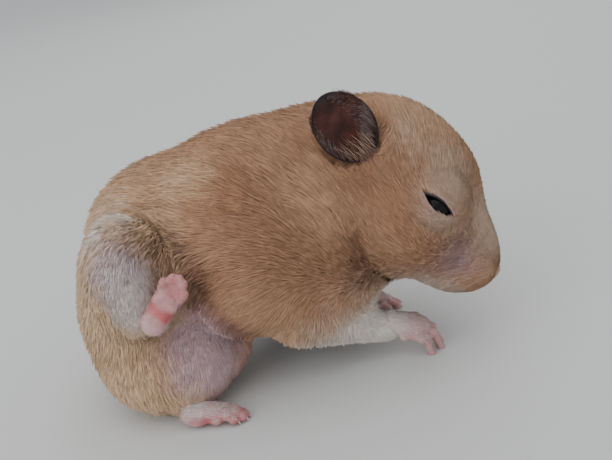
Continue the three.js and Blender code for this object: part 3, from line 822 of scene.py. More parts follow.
# ---- tufts ------------------------------------------------------------------------------------
PATCH = 0.003  # the width of one tuft on the bake map
PATCH_SHAPE = np.array(((0, 0.5), (0.5, 1), (0.5, 0), (1, 0.5))) - 0.5
MOST_TUFTS = 48000  # in one piece of the coat, at four faces each
USUAL_LENGTH, USUAL_WIDTH = 5.6, 0.22  # of a tuft on the trunk


def tuft_length(depth):
    return 0.55 + 1.72 * depth


def tuft_half_width(depth):
    return 0.045 + 0.025 * depth


def patch_uv(place):
    """Each tuft's four points as a small patch at its root's place on the unwrap."""
    return (np.clip(place, 0.01, 0.99)[:, None, :] + PATCH * PATCH_SHAPE[None]).reshape(-1, 2)


def unwrapped(p, centre, facing):
    """An equal-area unwrap of one side of the body: the direction from a point inside, opened
    flat about the way that the side faces."""
    facing = unit(np.array(facing, float))
    across = unit(np.cross((0, 0, 1), facing))
    up = np.cross(facing, across)
    way = unit(p - np.array(centre, float))
    ahead = way @ facing
    opened = np.sqrt(1 / np.maximum(1 + ahead, 0.08))[:, None]
    return 0.5 + 0.46 * np.stack((way @ across, way @ up), -1) * opened / math.sqrt(2)


def coat_sides(p):
    """The sides of the coat: which points belong, and the unwrap's inner point and facing."""
    forward, (x, y, z) = in_head(p)[:, :2], p.T

    def limbs(ends, radii, reach):
        return np.minimum(*(rod(p, *pair, *radii) for pair in ends)) < reach

    head = (forward[:, 0] > -9) & (x > 12) & (z > 17)
    legs = limbs((RIGHT_FORELEG, LEFT_FORELEG), FORELEG_RADII, 1)
    legs = (legs | limbs((RIGHT_SHANK, LEFT_SHANK), SHANK_RADII, 0.6)) & ~head
    trunk, right = ~head & ~legs, forward[:, 1] < 0
    front, rear = trunk & (x >= -21), trunk & (x < -21)
    in_skull = HEAD_AT - (0, 0, 8)
    return {
        "coat_head_right": (head & right, in_skull, (0, -1, 0.3)),
        "coat_head_left": (head & ~right, in_skull, (0, 1, -0.3)),
        "coat_forelegs": (legs & (x > -16), (2, 4, 12), (0, -1, 0)),
        "coat_hindlegs": (legs & (x <= -16), (-34, -8, 24), (0, -1, 0)),
        "coat_front_right": (front & (y < 6), (-4, 8, 32), (0, -1, 0)),
        "coat_front_left": (front & (y >= 6), (-4, 8, 32), (0, 1, 0)),
        "coat_rear_right": (rear & (y < 3), (-35, 3, 26), (-0.3, -1, 0)),
        "coat_rear_left": (rear & (y >= 3), (-35, 3, 26), (-0.3, 1, 0)),
    }


# ---- sizes and colours that a user would change --------------------------------------------
def colour_property(name, description, default):
    return bpy.props.FloatVectorProperty(
        name=name, description=description, subtype="COLOR", size=3, min=0, max=1, default=default
    )


class HAMSTER_PG_settings(bpy.types.PropertyGroup):
    """Sizes and colours of the hamster's coat and skin."""

    coat_depth: bpy.props.FloatProperty(
        name="Coat depth", description="From the skin to the tips of the coat on the trunk",
        default=0.0029, unit="LENGTH",
    )
    hair_length: bpy.props.FloatProperty(
        name="Hair length", description="Length of a tuft on the trunk",
        default=USUAL_LENGTH * MM, unit="LENGTH",
    )
    hair_width: bpy.props.FloatProperty(
        name="Hair width", description="Width of a tuft on the trunk",
        default=USUAL_WIDTH * MM, unit="LENGTH",
    )
    guard_share: bpy.props.FloatProperty(
        name="Guard hairs", description="Share of the tufts that stand out over the rest",
        default=0.035, min=0, max=1, subtype="FACTOR",
    )
    tuft_count: bpy.props.IntProperty(
        name="Tufts", description="Number of tufts in the whole coat", default=350000
    )
    whisker_length: bpy.props.FloatProperty(
        name="Whisker length", description="Length of the longest whisker",
        default=0.014, unit="LENGTH",
    )
    gold: colour_property("Gold", "Main colour of the coat", (0.5, 0.28, 0.17))
    deep_gold: colour_property("Deep gold", "Cheeks and behind shoulders", (0.42, 0.215, 0.115))
    bright_gold: colour_property("Bright gold", "Shoulders, nape, low flanks", (0.7, 0.43, 0.265))
    pale_gold: colour_property("Pale gold", "Rump, loin, elbows and forehead", (0.67, 0.46, 0.295))
    cream: colour_property("Cream", "Forearms, feet and underside", (0.76, 0.69, 0.63))
    # Painted shade: a dark colour laid on the coat in the folds and under the jaw, where shade
    # falls.
    painted_shade: colour_property("Shade", "Dark roots that show in the folds", (0.2, 0.105, 0.072))
    brow: colour_property("Brow", "Bridge of the nose and round the eyes", (0.63, 0.465, 0.35))
    jaw: colour_property("Jaw", "Under the muzzle", (0.63, 0.47, 0.39))
    muzzle: colour_property("Muzzle", "Skin seen through the whisker pads", (0.5, 0.34, 0.39))
    belly: colour_property("Belly", "Belly skin under thin fur", (0.66, 0.4, 0.43))
    thigh: colour_property("Thigh", "Thin fur inside the thigh, by the lids", (0.51, 0.37, 0.39))
    ankle: colour_property("Ankle", "Pale fur over the ankle", (0.58, 0.48, 0.45))
    paw: colour_property("Paw", "Bare skin of the feet", (0.55, 0.34, 0.335))
    sole: colour_property("Sole", "Toes and creases of the soles", (0.46, 0.11, 0.11))
    ear: colour_property("Ear", "Skin inside the ears", (0.068, 0.021, 0.016))
    ear_rim: colour_property("Ear rim", "Rim and back of the ears", (0.031, 0.023, 0.027))
    silver: colour_property("Silver", "Hairs inside the ears", (0.27, 0.215, 0.195))
    nose: colour_property("Nose", "Bare skin of the nose and lips", (0.5, 0.31, 0.29))
    lid: colour_property("Lid", "Grey skin of the lids", (0.11, 0.1, 0.105))
    lid_rim: colour_property("Lid rim", "Dark edge of the lids", (0.02, 0.018, 0.02))
    claw: colour_property("Claw", "Horn of the claws", (0.55, 0.45, 0.39))


# ---- the pieces ---------------------------------------------------------------------------------
FLESH = (
    "head", "neck", "chest", "abdomen", "foreleg_right", "foreleg_left", "hindleg_right",
    "hindleg_left", "forepaw_right", "forepaw_left", "hindfoot_right", "hindfoot_left", "tail",
)
store = {}


def slit_axes():
    """The eye's own axes in the head's frame: along the slit, outwards and across the slit."""
    t = math.radians(SLIT_TILT)
    return np.array(((math.cos(t), 0, -math.sin(t)), (0, 1, 0), (math.sin(t), 0, math.cos(t)))).T


def from_slit(q):
    """How far outside the edge of the lids a point is, and its place along and across them."""
    e = (q - EYE_AT) @ slit_axes()
    x = e[..., 0] / SLIT[0]
    beside = np.abs(e[..., 2]) - SLIT[1] * (1 - x * x)
    beyond = np.hypot(np.abs(e[..., 0]) - SLIT[0], e[..., 2])
    return np.where(np.abs(x) < 1, beside, beyond), e


# The nose and mouth in the head's frame, for y towards either side.
PHILTRUM = ((32.3, 0, -12.6), (31.2, 0, -15.4))
LIPS = ((31.0, 0, -15.8), (28.8, 3.5, -17.0), (24.5, 6.2, -18.4))
WHISKER_PAD = ((27, 4.6, -12.6), (6, 4.5, 5))
NOSE_PAD = ((29.9, 0, -11.2), (2.0, 2.5, 2.0))
LOWER_LIP = ((27.0, 0, -16.4), (2.8, 3.4, 1.7))
NOSTRIL = ((31.9, 1.15, -11.4), (0.9, 0.45, 0.55))
NOSTRIL_SLOT = ((31.7, 1.4, -11.2), (31.0, 2.3, -10.3), 0.3, 0.16)
NOSE_GROOVE = ((32.0, 0, -10.2), (32.3, 0, -12.6), 0.16, 0.26)
BARE_NOSE = ((31.2, 0, -11.3), (3.2, 3.5, 3.0))
HAIRLESS_NOSE = ((30.9, 0, -11.2), (2.3, 2.7, 2.2))
# The reach of the painted shade in the nostrils:
NOSTRIL_SHADE = ((31.7, 1.35, -11.2), (0.9, 0.8, 0.7))


def from_mouth(q):
    """The distance from the line of the mouth and the cleft above it."""
    cleft = rod(q, *PHILTRUM, 0, 0)
    return np.minimum(cleft, np.minimum(rod(q, *LIPS[:2], 0, 0), rod(q, *LIPS[1:], 0, 0)))


def skin_field(p):
    """The skin: sockets and rims of the lids, the nose with its nostrils, the whisker pads and
    the mouth, and the hollows of the ears."""
    level = skin_level(p)
    q = either_side(p)
    gap, e = from_slit(q)
    beside_eye = (eye_distance(q) < LIDS_REACH) & (e[..., 1] > 0)
    rim = 0.2 * np.exp(-(((gap - 0.25) / 0.3) ** 2)) - 0.1 * np.exp(-(((gap - 1.0) / 0.35) ** 2))
    corner = np.exp(-((e[..., 2] / 0.22) ** 2)) * smooth((SLIT[0] + 1.5 - np.abs(e[..., 0])) / 1.5)
    crease = 0.3 * corner * (np.abs(e[..., 0]) > SLIT[0] - 0.4)
    level = level - np.where(beside_eye, rim - crease, 0)
    level = np.where(beside_eye, np.maximum(level, -gap), level)
    level = np.maximum(level, EYEBALL_RADIUS - 0.02 - np.linalg.norm(q - EYEBALL_AT, axis=-1))

    level = level - 0.5 * near(q, *WHISKER_PAD)
    level = fuse(1.2, fuse(1.6, level, egg(q, NOSE_PAD)), egg(q, LOWER_LIP))
    cuts = egg(q, NOSTRIL), rod(q, *NOSTRIL_SLOT), rod(q, *NOSE_GROOVE), from_mouth(q) - 0.3
    level = -fuse(0.35, -level, np.minimum.reduce(cuts))
    for ear in EARS.values():
        level = -fuse(1.0, -level, egg(in_ear(p, ear), EAR_BOWL))
    return np.maximum(level, -p[..., 2])


EYE_PATCH = 6.9  # reach of the finer skin round each eye
SNOUT_PATCH = 24.5  # the snout is finer from this x in the head's frame onwards
SNOUT_MIDDLE, SNOUT_REACH, EYE_REACH = (28, 0, -11), 11, 7.4  # of the boxes that are netted
OVERLAP = 0.3
RAISED = 0.01  # how far the finer nets lie over the body's
BODY_BOX = ((-62, -28, -1), (48, 36, 66))
TAIL_BOX = ((-62, 6, -1), (-46, 22, 14))
FOOT_MIDDLE, FOOT_REACH = 6, 11.5
BODY_CELL, SNOUT_CELL, LID_CELL, FOOT_CELL, TAIL_CELL = 0.62, 0.24, 0.16, 0.3, 0.4


def skin_parts():
    """The skin's nets: one for the whole body, and finer ones for the snout and round the eyes,
    which overlap it by a hair's breadth."""

    def whole(p):
        q = either_side(p)
        hole = EYE_PATCH - OVERLAP - eye_distance(q)
        return np.maximum(skin_field(p), np.maximum(hole, q[..., 0] - SNOUT_PATCH - OVERLAP))

    def raised(p):
        return skin_field(p) - RAISED

    def snout(p):
        return np.maximum(raised(p), SNOUT_PATCH - in_head(p)[..., 0])

    points, faces = net(whole, *BODY_BOX, BODY_CELL, 0)
    q = either_side(points)
    free = (eye_distance(q) > EYE_PATCH) & (q[:, 0] < SNOUT_PATCH) & (points[:, 2] > 0.7)
    points[free] = settle(skin_field, points[free], 0.0, 2)
    parts = [(points, faces)]
    tip = from_head(SNOUT_MIDDLE)
    points, faces = net(snout, tip - SNOUT_REACH, tip + SNOUT_REACH, SNOUT_CELL, 0)
    free = in_head(points)[:, 0] > SNOUT_PATCH + 0.3
    points[free] = settle(raised, points[free], 0.0, 1)
    parts.append((points, faces))
    for side in (-1, 1):
        eye = from_head(EYE_AT * (1, side, 1))

        def lids(p):
            return np.maximum(raised(p), np.linalg.norm(p - eye, axis=-1) - EYE_PATCH)

        parts.append(net(lids, eye - EYE_REACH, eye + EYE_REACH, LID_CELL, 0))
    return parts


def skin_colour(p):
    """The markings, a little darker than the hair as painted shade between the hairs, with the
    bare nose, lids, lips and ears.
    """
    s = bpy.context.scene.hamster
    # Painted shade: the skin under the coat is darkened to stand for the shade between the hairs.
    colour = markings(p) * 0.85
    q = either_side(p)
    mouth = from_mouth(q)
    gap, e = from_slit(q)
    by_eye = smooth((LIDS_REACH - eye_distance(q)) / 0.8) * (e[:, 1] > 0)
    tear_duct = np.hypot(e[:, 0] - SLIT[0] - 0.5, e[:, 2])
    corner = (np.abs(e[:, 2]) < 0.2) & (np.abs(e[:, 0]) < SLIT[0] + 0.8)
    layers = [
        (s.nose, smooth(1.6 * near(q, *BARE_NOSE))),
        (s.nose, 0.8 * smooth((1.3 - mouth) / 0.9)),
        # Painted shade: the groove of the mouth and the nostrils are darkened where shade falls in
        # them.
        (np.array(s.nose) * (0.25, 0.12, 0.12), smooth((0.34 - mouth) / 0.1)),
        ((0.05, 0.02, 0.02), smooth(2 * near(q, *NOSTRIL_SHADE))),
        (s.lid, by_eye * smooth((1.35 - gap) / 0.9)),
        (s.nose, by_eye * 0.7 * smooth((1.6 - tear_duct) / 0.9)),
        (s.lid_rim, by_eye * np.maximum(smooth((0.75 - gap) / 0.5), corner)),
    ]
    for ear in EARS.values():
        hollow = near(in_ear(p, ear), EAR_BOWL[0], np.array(EAR_BOWL[1]) * 1.55)
        layers.append((s.ear, smooth(2.5 * hollow)))
    for to, amount in layers:
        colour = mixed(colour, to, amount)
    return colour


class HAMSTER_OT_skin(bpy.types.Operator):
    """Build the skin over the whole animal, with the feet and the tail"""

    bl_idname = "hamster.skin"
    bl_label = "Skin"

    def execute(self, context):
        s = context.scene.hamster
        parts = skin_parts()
        store["skin"] = stitched(parts)
        store["feet"] = {}
        every = [(points, faces, skin_colour(points)) for points, faces in parts]
        for name, foot in FEET.items():
            root, axes = foot_frame(foot)
            centre = root + axes[:, 0] * FOOT_MIDDLE
            field = foot_field(foot)
            points, faces = net(
                lambda p: np.maximum(field(p), -p[..., 2]),
                centre - FOOT_REACH, centre + FOOT_REACH, FOOT_CELL, 1,
            )
            points[:, 2] = np.maximum(points[:, 2], 0)
            store["feet"][name] = (points, faces)
            every.append((points, faces, foot_colour(foot, points)))
        points, faces = net(lambda p: rod(p, *TAIL), *TAIL_BOX, TAIL_CELL, 1)
        every.append((points, faces, np.ones((len(points), 3)) * np.array(s.paw)))
        whole, whole_faces = stitched([(p, f) for p, f, _ in every])
        material = marked_material(
            "skin", 1400, 0.12, 0.5, 0.5, Subsurface_Weight=0.08, Subsurface_Scale=0.001
        )
        colour = np.concatenate([c for *_, c in every])
        skin = make_mesh("skin", whole, whole_faces, colour, None, material)
        dress(skin, "coat", *FLESH)
        return {"FINISHED"}


class HAMSTER_OT_eyes(bpy.types.Operator):
    """Build the two wet black eyeballs"""

    bl_idname = "hamster.eyes"
    bl_label = "Eyes"

    def execute(self, context):
        black, tree, shader = new_material("eye black", Roughness=0.16, Specular_IOR_Level=0.17)
        place = add_node(tree, "ShaderNodeTexCoord")
        noise = add_node(tree, "ShaderNodeTexNoise", Scale=900.0, Detail=3.0)
        ramp = add_node(tree, "ShaderNodeValToRGB")
        ramp.color_ramp.elements[0].color = (0.004, 0.003, 0.004, 1)
        ramp.color_ramp.elements[1].color = (0.011, 0.009, 0.01, 1)
        wire(
            tree, (place, "Object", noise, "Vector"), (noise, "Fac", ramp, "Fac"),
            (ramp, "Color", shader, "Base Color"),
        )
        rows, columns = 28, 48
        a = np.linspace(0.02, math.pi - 0.02, rows)[:, None]
        b = np.linspace(0, 2 * math.pi, columns, endpoint=False)[None]
        ball = np.stack((np.sin(a) * np.cos(b), np.sin(a) * np.sin(b), np.cos(a) + 0 * b), -1)
        ends = [np.arange(columns)[None], np.arange(columns)[None, ::-1] + (rows - 1) * columns]
        for name, side in (("right", -1), ("left", 1)):
            points = from_head((EYEBALL_AT + EYEBALL_RADIUS * ball.reshape(-1, 3)) * (1, side, 1))
            faces = [grid_faces(rows, columns, wrap=True)[:, ::-1]] + ends
            if side < 0:
                faces = [f[:, ::-1] for f in faces]
            eye = make_mesh(f"eyeball_{name}", points, faces, None, None, black)
            dress(eye, "eye", f"eye_{name}")
        return {"FINISHED"}


class HAMSTER_OT_ears(bpy.types.Operator):
    """Build the two ears as thin cupped leaves with a round rim"""

    bl_idname = "hamster.ears"
    bl_label = "Ears"

    def execute(self, context):
        s = context.scene.hamster
        material = marked_material("ear skin", 1500, 0.25, 0.6, 0.6, Specular_IOR_Level=0.3)
        rows, columns = 44, 72
        u = np.sin(np.linspace(0, 0.98, rows) * math.pi / 2)[:, None]
        around = np.linspace(0, 2 * math.pi, columns, endpoint=False)[None]
        v = np.sin(around)
        front = np.cos(around)
        for name, ear in EARS.items():
            leaf = ear_leaf(u + 0 * v, v + 0 * u)
            wall = EAR["wall"] * (1.3 - 0.4 * u) * (1 - 0.25 * np.abs(v) ** 3)
            leaf[..., 2] += wall * (front - 1) / 2
            leaf[..., 2] += 0.25 * smooth((np.abs(v) - 0.75) / 0.25) * (front > 0)
            points = ear_place(ear, leaf).reshape(-1, 3)
            faces = [grid_faces(rows, columns, wrap=True), np.arange(columns)[None, ::-1]]
            faces.append(np.arange(columns)[None] + (rows - 1) * columns)
            faces = [f[:, ::-1] for f in faces] if ear[0] < 0 else faces
            rim = np.maximum(smooth((np.abs(v) - 0.66) / 0.3), smooth((u - 0.8) / 0.18))
            rim = np.maximum(rim, front < 0).reshape(-1)
            colour = mixed(np.array(s.ear), s.ear_rim, rim)
            colour *= (1 + 0.3 * waves(points, 3.0, 8))[:, None]
            colour = np.clip(colour, 0, 1)
            piece = make_mesh(f"pinna_{name}", points, faces, colour, None, material)
            dress(piece, "ear_skin", f"ear_{name}")
        return {"FINISHED"}


def coat_material():
    """The one material of every tuft."""
    return bpy.data.materials.get("coat hair") or marked_material(
        "coat hair", 700, 0.05, 0, 0.75, Specular_IOR_Level=0.2
    )


class HAMSTER_OT_coat(bpy.types.Operator):
    """Cover the skin with solid tufts that follow the lie of the coat"""

    bl_idname = "hamster.coat"
    bl_label = "Coat"

    def execute(self, context):
        s = context.scene.hamster
        rng = np.random.default_rng(11)
        root = scattered(*store["skin"], s.tuft_count, self.density, rng).astype(np.float32)
        normal = unit(gradient(skin_level, root, 0.05))
        depth = coat_depth(root)
        size = s.hair_length / MM / USUAL_LENGTH
        length = size * tuft_length(depth) * rng.uniform(0.75, 1.2, len(root))
        for ear in EARS.values():
            length *= 1 - 0.5 * smooth((1.8 - from_bowl(root, ear)) / 0.5)
        way = lie(root, normal)
        clump = wave_vectors(root, 2.2, 60) * (0.08 * length)[:, None]
        stray = rng.normal(size=(len(root), 3)) * (0.045 * length)[:, None]
        rise = rng.uniform(0.62, 1.06, len(root)) * (0.95 + 0.05 * waves(root, 3.0, 77))
        guard = rng.random(len(root)) < s.guard_share
        rise = np.where(guard, rng.uniform(1.05, 1.22, len(root)), rise)
        length = np.where(guard, 1.12 * length, length)
        middle = self.laid(root + way * (0.45 * length)[:, None] + 0.4 * clump, 0.66 * rise)
        tip = self.laid(root + way * length[:, None] + clump + stray, rise)
        width = s.hair_width / MM / USUAL_WIDTH * tuft_half_width(depth)
        width = width * rng.uniform(0.75, 1.25, len(root))
        width = np.where(guard, 0.6 * width, width)
        tone = 1 + 0.09 * rng.normal(size=len(root)) + 0.04 * waves(root, 2.2, 90)
        pale = thin_fur(root) * rng.random(len(root))
        stirred = root + rng.normal(size=root.shape).astype(np.float32)
        colour = markings(stirred) * np.clip(tone, 0.7, 1.35)[:, None]
        colour = np.clip(colour + 0.45 * pale[:, None] * (0.7 - colour), 0.01, 0.95)
        taken = np.zeros(len(root), bool)
        for name, (belongs, centre, facing) in coat_sides(root).items():
            which = np.nonzero(belongs & ~taken)[0]
            taken[which] = True
            count = max(1, math.ceil(len(which) / MOST_TUFTS))
            for number, rows in enumerate(np.array_split(which, count)):
                uv = patch_uv(unwrapped(root[rows], centre, facing))
                add_tufts(
                    f"{name}_{number + 1}", root[rows] - 0.1 * normal[rows], normal[rows],
                    middle[rows], tip[rows], width[rows], colour[rows], uv,
                )
        return {"FINISHED"}

    @staticmethod
    def laid(p, rise):
        """Points moved to a share of the coat's depth at their own place, above the floor."""
        p = settle(coat_tips, p, (rise - 1) * coat_depth(p), 2)
        p[:, 2] = np.maximum(p[:, 2], 0.06)
        return p

    @staticmethod
    def density(p):
        """So many tufts that they cover the skin about as often everywhere: more where they are
        small, fewer where the skin shows through, and none on what is bare."""
        depth = coat_depth(p)
        dense = 1 / (tuft_length(depth) * tuft_half_width(depth)) ** 0.85
        dense *= 1 - 0.4 * thin_fur(p)
        q = either_side(p)
        gap, e = from_slit(q)
        bare = (gap < 0.3) & (eye_distance(q) < LIDS_REACH) & (e[:, 1] > 0)
        bare |= egg(q, HAIRLESS_NOSE) < 0
        bare |= from_mouth(q) < 0.4
        bare |= (np.abs(skin_level(p)) > 0.8) | (p[:, 2] < 0.5)
        for ear in EARS.values():
            bare |= egg(in_ear(p, ear), (EAR_BOWL[0], np.array(EAR_BOWL[1]) + (0.2, 0.5, 1.6))) < 0
        return dense * ~bare


def thin_fur(p):
    """Where the skin shows through sparse pale hairs: the belly and inside the thigh."""
    spots = near(p, (-29, -15, 15), (13, 13, 14)), near(p, (-41, -21, 40), (10, 12, 13))
    return smooth(1.6 * np.maximum(*spots))


def scattered(points, faces, count, density, rng):
    """Places scattered over a net of quadrilaterals, as thickly as density says."""
    corner = points[faces]
    one = np.cross(corner[:, 1] - corner[:, 0], corner[:, 2] - corner[:, 0])
    two = np.cross(corner[:, 2] - corner[:, 0], corner[:, 3] - corner[:, 0])
    area = (np.linalg.norm(one, axis=1) + np.linalg.norm(two, axis=1)) / 2
    share = density(corner.mean(1)) * area
    chosen = corner[rng.choice(len(faces), count, p=share / share.sum())]
    a, b = rng.random((2, count, 1))
    low = chosen[:, 0] + (chosen[:, 1] - chosen[:, 0]) * a
    high = chosen[:, 3] + (chosen[:, 2] - chosen[:, 3]) * a
    return low + (high - low) * b


TUFT_FACES = np.array(((0, 2, 1), (1, 2, 3), (0, 1, 3), (0, 3, 2)))


def add_tufts(name, root, normal, middle, tip, width, colour, uv, tip_shade=1.06, root_shade=0.8):
    """A piece of coat: each tuft has four faces between its root, two points abreast of each
    other near its middle and its tip. Its normals are the skin's, leant until they are nearly
    square to the tuft and bent to either side."""
    count = len(root)
    along = tip - root
    axis = unit(along)
    square = unit(normal - 0.999 * (normal * axis).sum(-1, keepdims=True) * axis)
    lift = 0.06 - ((middle - root - 0.45 * along) * square).sum(-1)
    middle = middle + np.maximum(lift, 0)[:, None] * square
    side = unit(np.cross(square, along))
    normal = unit(normal + 2 * square)
    aside = width[:, None] * side
    points = np.stack((root, middle + aside, middle - aside, tip), 1)
    faces = (TUFT_FACES[None] + 4 * np.arange(count)[:, None, None]).reshape(-1, 3)
    shades = np.array((root_shade, 1, 1, tip_shade))
    colours = colour[:, None, :] * shades[None, :, None]
    normals = np.stack((normal, normal + 0.7 * side, normal - 0.7 * side, normal), 1)
    piece = make_mesh(
        name, points.reshape(-1, 3), faces, np.clip(colours, 0, 1).reshape(-1, 3), uv,
        coat_material(), normals=unit(normals).reshape(-1, 3),
    )
    return dress(piece, "coat")


# Hairs that lie on the ears' leaves: how many, where along and across the leaf, on which side, the
# way they lie at its root and how that turns towards its tip, their stray, colour and tones, their
# lengths and how much of these is lost towards the tip, and whether they are on the back.
EAR_HAIRS = (
    dict(  # inside the front rim
        count=420, along=(0.02, 0.93), across=(0.3, 0.98), side=-1, way=(0.85, 0.9),
        turn=(-0.5, -0.9), stray=0.12, colour="silver", tones=(0.35, 1.3), lengths=(3, 6.5),
        loss=0.75, back=False, width=0.032, rise=0.06,
    ),
    dict(  # inside the rear rim
        count=200, along=(0.1, 0.8), across=(0.55, 0.98), side=1, way=(-0.5, 0.8),
        turn=(0, 0), stray=0.15, colour="silver", tones=(0.5, 1.2), lengths=(1.0, 2.2),
        loss=0, back=False, width=0.035, rise=0.08,
    ),
    dict(  # over the back
        count=2400, along=(0.0, 0.86), across=(-0.85, 0.85), side=1, way=(0, 1),
        turn=(0, 0), stray=0.15, colour="ear_rim", tones=(0.9, 2.2), lengths=(0.5, 1.0),
        loss=0, back=True, width=0.05, rise=0.05,
    ),
)
EAR_FRINGE = 130  # hairs that cross each ear's opening from below
FOOT_HAIRS = 1300
WHISKER_ROWS, WHISKERS_IN_ROW, WHISKER_RADIUS = 4, 5, 0.034
HALFWAY = 0.45  # where along a hair its widest place is


def bent(root, way, length, up, rise, tip_rise):
    """The widest place and the tip of hairs that lie along a way and rise from the surface."""
    length = np.reshape(length, (-1, 1))
    middle = root + way * HALFWAY * length + up * np.reshape(rise, (-1, 1))
    return middle, root + way * length + up * np.reshape(tip_rise, (-1, 1))


class HAMSTER_OT_fringes(bpy.types.Operator):
    """Add the short hairs of the ears and feet, and the whiskers"""

    bl_idname = "hamster.fringes"
    bl_label = "Ear and foot hair, whiskers"

    def execute(self, context):
        s, rng = context.scene.hamster, np.random.default_rng(5)
        hairs = []
        for ear in EARS.values():
            hairs += [self.on_leaf(ear, kind, s, rng) for kind in EAR_HAIRS]
            hairs.append(self.notch_hair(ear, s, rng))
        self.add("ear_hair", hairs, (HEAD_AT, (-0.3, -1, 1)), 1.3, 0.8)
        hairs = [self.foot_hair(name, foot, s, rng) for name, foot in FEET.items()]
        self.add("foot_hair", hairs, ((-8, 0, 18), (0, -1, 0)), 1.1, 0.95)
        self.whiskers(s, rng)
        return {"FINISHED"}

    @staticmethod
    def add(name, hairs, unwrap, tip_shade, root_shade):
        root, middle, tip, normal, width, colour = (np.concatenate(part) for part in zip(*hairs))
        uv = patch_uv(unwrapped(root, *unwrap))
        add_tufts(name, root, normal, middle, tip, width, colour, uv, tip_shade, root_shade)

    @staticmethod
    def on_leaf(ear, kind, s, rng):
        """Hairs that lie on the inner face or the back of an ear."""
        side, _, *axes = ear_axes(ear)
        n = kind["count"]
        u = rng.uniform(*kind["along"], n)
        v = kind["side"] * rng.uniform(*kind["across"], n)
        ways = (way + turn * u for way, turn in zip(kind["way"], kind["turn"]))
        way = np.stack((*ways, 0 * u), -1) + kind["stray"] * rng.normal(size=(n, 3))
        colour = np.array(getattr(s, kind["colour"])) * rng.uniform(*kind["tones"], (n, 1))
        length = rng.uniform(*kind["lengths"], n) * (1 - kind["loss"] * u)
        leaf = ear_leaf(u, v)
        leaf[:, 2] += -EAR["wall"] * 1.15 if kind["back"] else 0.02
        step = ear_leaf(u, v + 0.02) - ear_leaf(u, v - 0.02)
        up = unit(np.cross(step, (0, 1, 0))) * -1
        up = np.where(up[:, 2:] < 0, -up, up) * (-1 if kind["back"] else 1)
        rise = kind["rise"] * length
        middle, tip = bent(leaf, flat_on(unit(way), up), length, up, 0.6 * rise + 0.03, rise)
        normal = up @ (np.stack(axes) * (1, side, 1) @ HEAD_TURN.T)
        places = [ear_place(ear, x) for x in (leaf, middle, tip)]
        return [*places, normal, np.full(n, kind["width"]), colour]

    @staticmethod
    def notch_hair(ear, s, rng):
        """Pale hairs that rise from the coat below and before an ear, across its opening."""
        side, _, *axes = ear_axes(ear)

        def notch(p):
            e, ring = in_ear(p, ear), from_bowl(p, ear)
            edge = np.maximum(0.7 * smooth((3.2 - e[:, 1]) / 2), smooth((-e[:, 0] - 2) / 2))
            below = (e[:, 2] > -6) & (e[:, 1] < 9)
            return (ring > 0.98) * smooth((1.35 - ring) / 0.3) * edge * below

        at = scattered(*store["skin"], EAR_FRINGE, notch, rng)
        up = unit(gradient(skin_level, at, 0.05))
        n, front = len(at), smooth((-in_ear(at, ear)[:, 0] - 2) / 2)
        way = np.stack((rng.normal(0.1, 0.14, n) + 0.35 * front, np.ones(n), np.full(n, 0.1)), -1)
        way = unit(way @ (np.stack(axes) * (1, side, 1) @ HEAD_TURN.T))
        length = rng.uniform(2.5, 6, n) * (1 - 0.3 * front)
        middle, tip = bent(at, way, length, up, 1.0, 0.9)
        colour = 0.5 * markings(at) + 0.9 * np.array(s.silver)
        colour = np.clip(colour * rng.uniform(0.8, 1.3, (n, 1)), 0, 0.9)
        return [at, middle, tip, up, np.full(n, 0.024), colour]

    @staticmethod
    def foot_hair(name, foot, s, rng):
        """Short pale hairs that lie from the root towards the toes over the back of a foot."""
        root, axes = foot_frame(foot)
        field = foot_field(foot)
        reach = foot[0]["palm"][0] + 0.55 * foot[0]["length"]

        def density(p):
            slope = gradient(field, p, 0.05) @ axes
            on_back = smooth((slope[:, 2] + 0.1) / 0.5) * (p[:, 2] > 0.4)
            return on_back * smooth((reach - ((p - root) @ axes)[:, 0]) / 4)

        at = scattered(*store["feet"][name], FOOT_HAIRS, density, rng)
        n, ahead = len(at), (at - root) @ axes[:, 0]
        normal = unit(gradient(field, at, 0.05))
        way = flat_on(axes[:, 0] + 0.18 * rng.normal(size=(n, 3)), normal)
        length = rng.uniform(0.7, 1.3, n) * np.interp(ahead, (0, reach), (1.5, 0.7))
        middle, tip = bent(at, way, length, normal, 0.13 * length + 0.02, 0.16 * length)
        for points in (middle, tip):
            points[:, 2] = np.maximum(points[:, 2], 0.05)
        share = 0.4 + 0.5 * smooth((5 - ahead) / 5)[:, None]
        colour = share * np.array(s.cream) + (1 - share) * np.array(s.paw)
        colour = colour * rng.uniform(0.85, 1.15, (n, 1))
        return [at - 0.03 * normal, middle, tip, normal, np.full(n, 0.045), colour]

    @staticmethod
    def whiskers(s, rng):
        """Fine tapered tubes that leave the pads in rows and bend back and down."""
        longest = s.whisker_length / MM
        sides, rings = 5, 10
        t = np.linspace(0, 1, rings)[:, None]
        tubes = []
        for side, row, place in np.ndindex(2, WHISKER_ROWS, WHISKERS_IN_ROW):
            mirror = (1, 2 * side - 1, 1)
            beside, height = 5.2 + 0.45 * place, -10.2 - 1.5 * row - 0.3 * place
            at = from_head(np.array((28.3 - 1.25 * place, beside, height)) * mirror)
            at = settle(skin_field, at[None], 0.0, 4)[0]
            way = np.array((-0.35 - 0.12 * place, 0.9, -0.25 - 0.22 * row))
            way = (unit(way + 0.12 * rng.normal(size=3)) * mirror) @ HEAD_TURN.T
            bend = (np.array((-0.6, 0, -0.5)) * mirror) @ HEAD_TURN.T
            length = longest * rng.uniform(0.45, 1.0) * (0.5 + 0.12 * place)
            line = at + way * (t - 0.03) * length + bend * length * 0.35 * t**2
            across = unit(np.cross(way, (0.3, 0.2, 1.0)))
            radius = WHISKER_RADIUS * (1 - 0.75 * t)
            tubes.append(tube_points(line, radius, across, np.cross(way, across), sides))
        points = np.concatenate(tubes)
        colour = np.ones((len(points), 3)) * np.array(s.pale_gold)
        faces = tube_faces(len(tubes), rings, sides, 1)
        dress(make_mesh("whiskers", points, faces, colour, None, coat_material()), "coat")


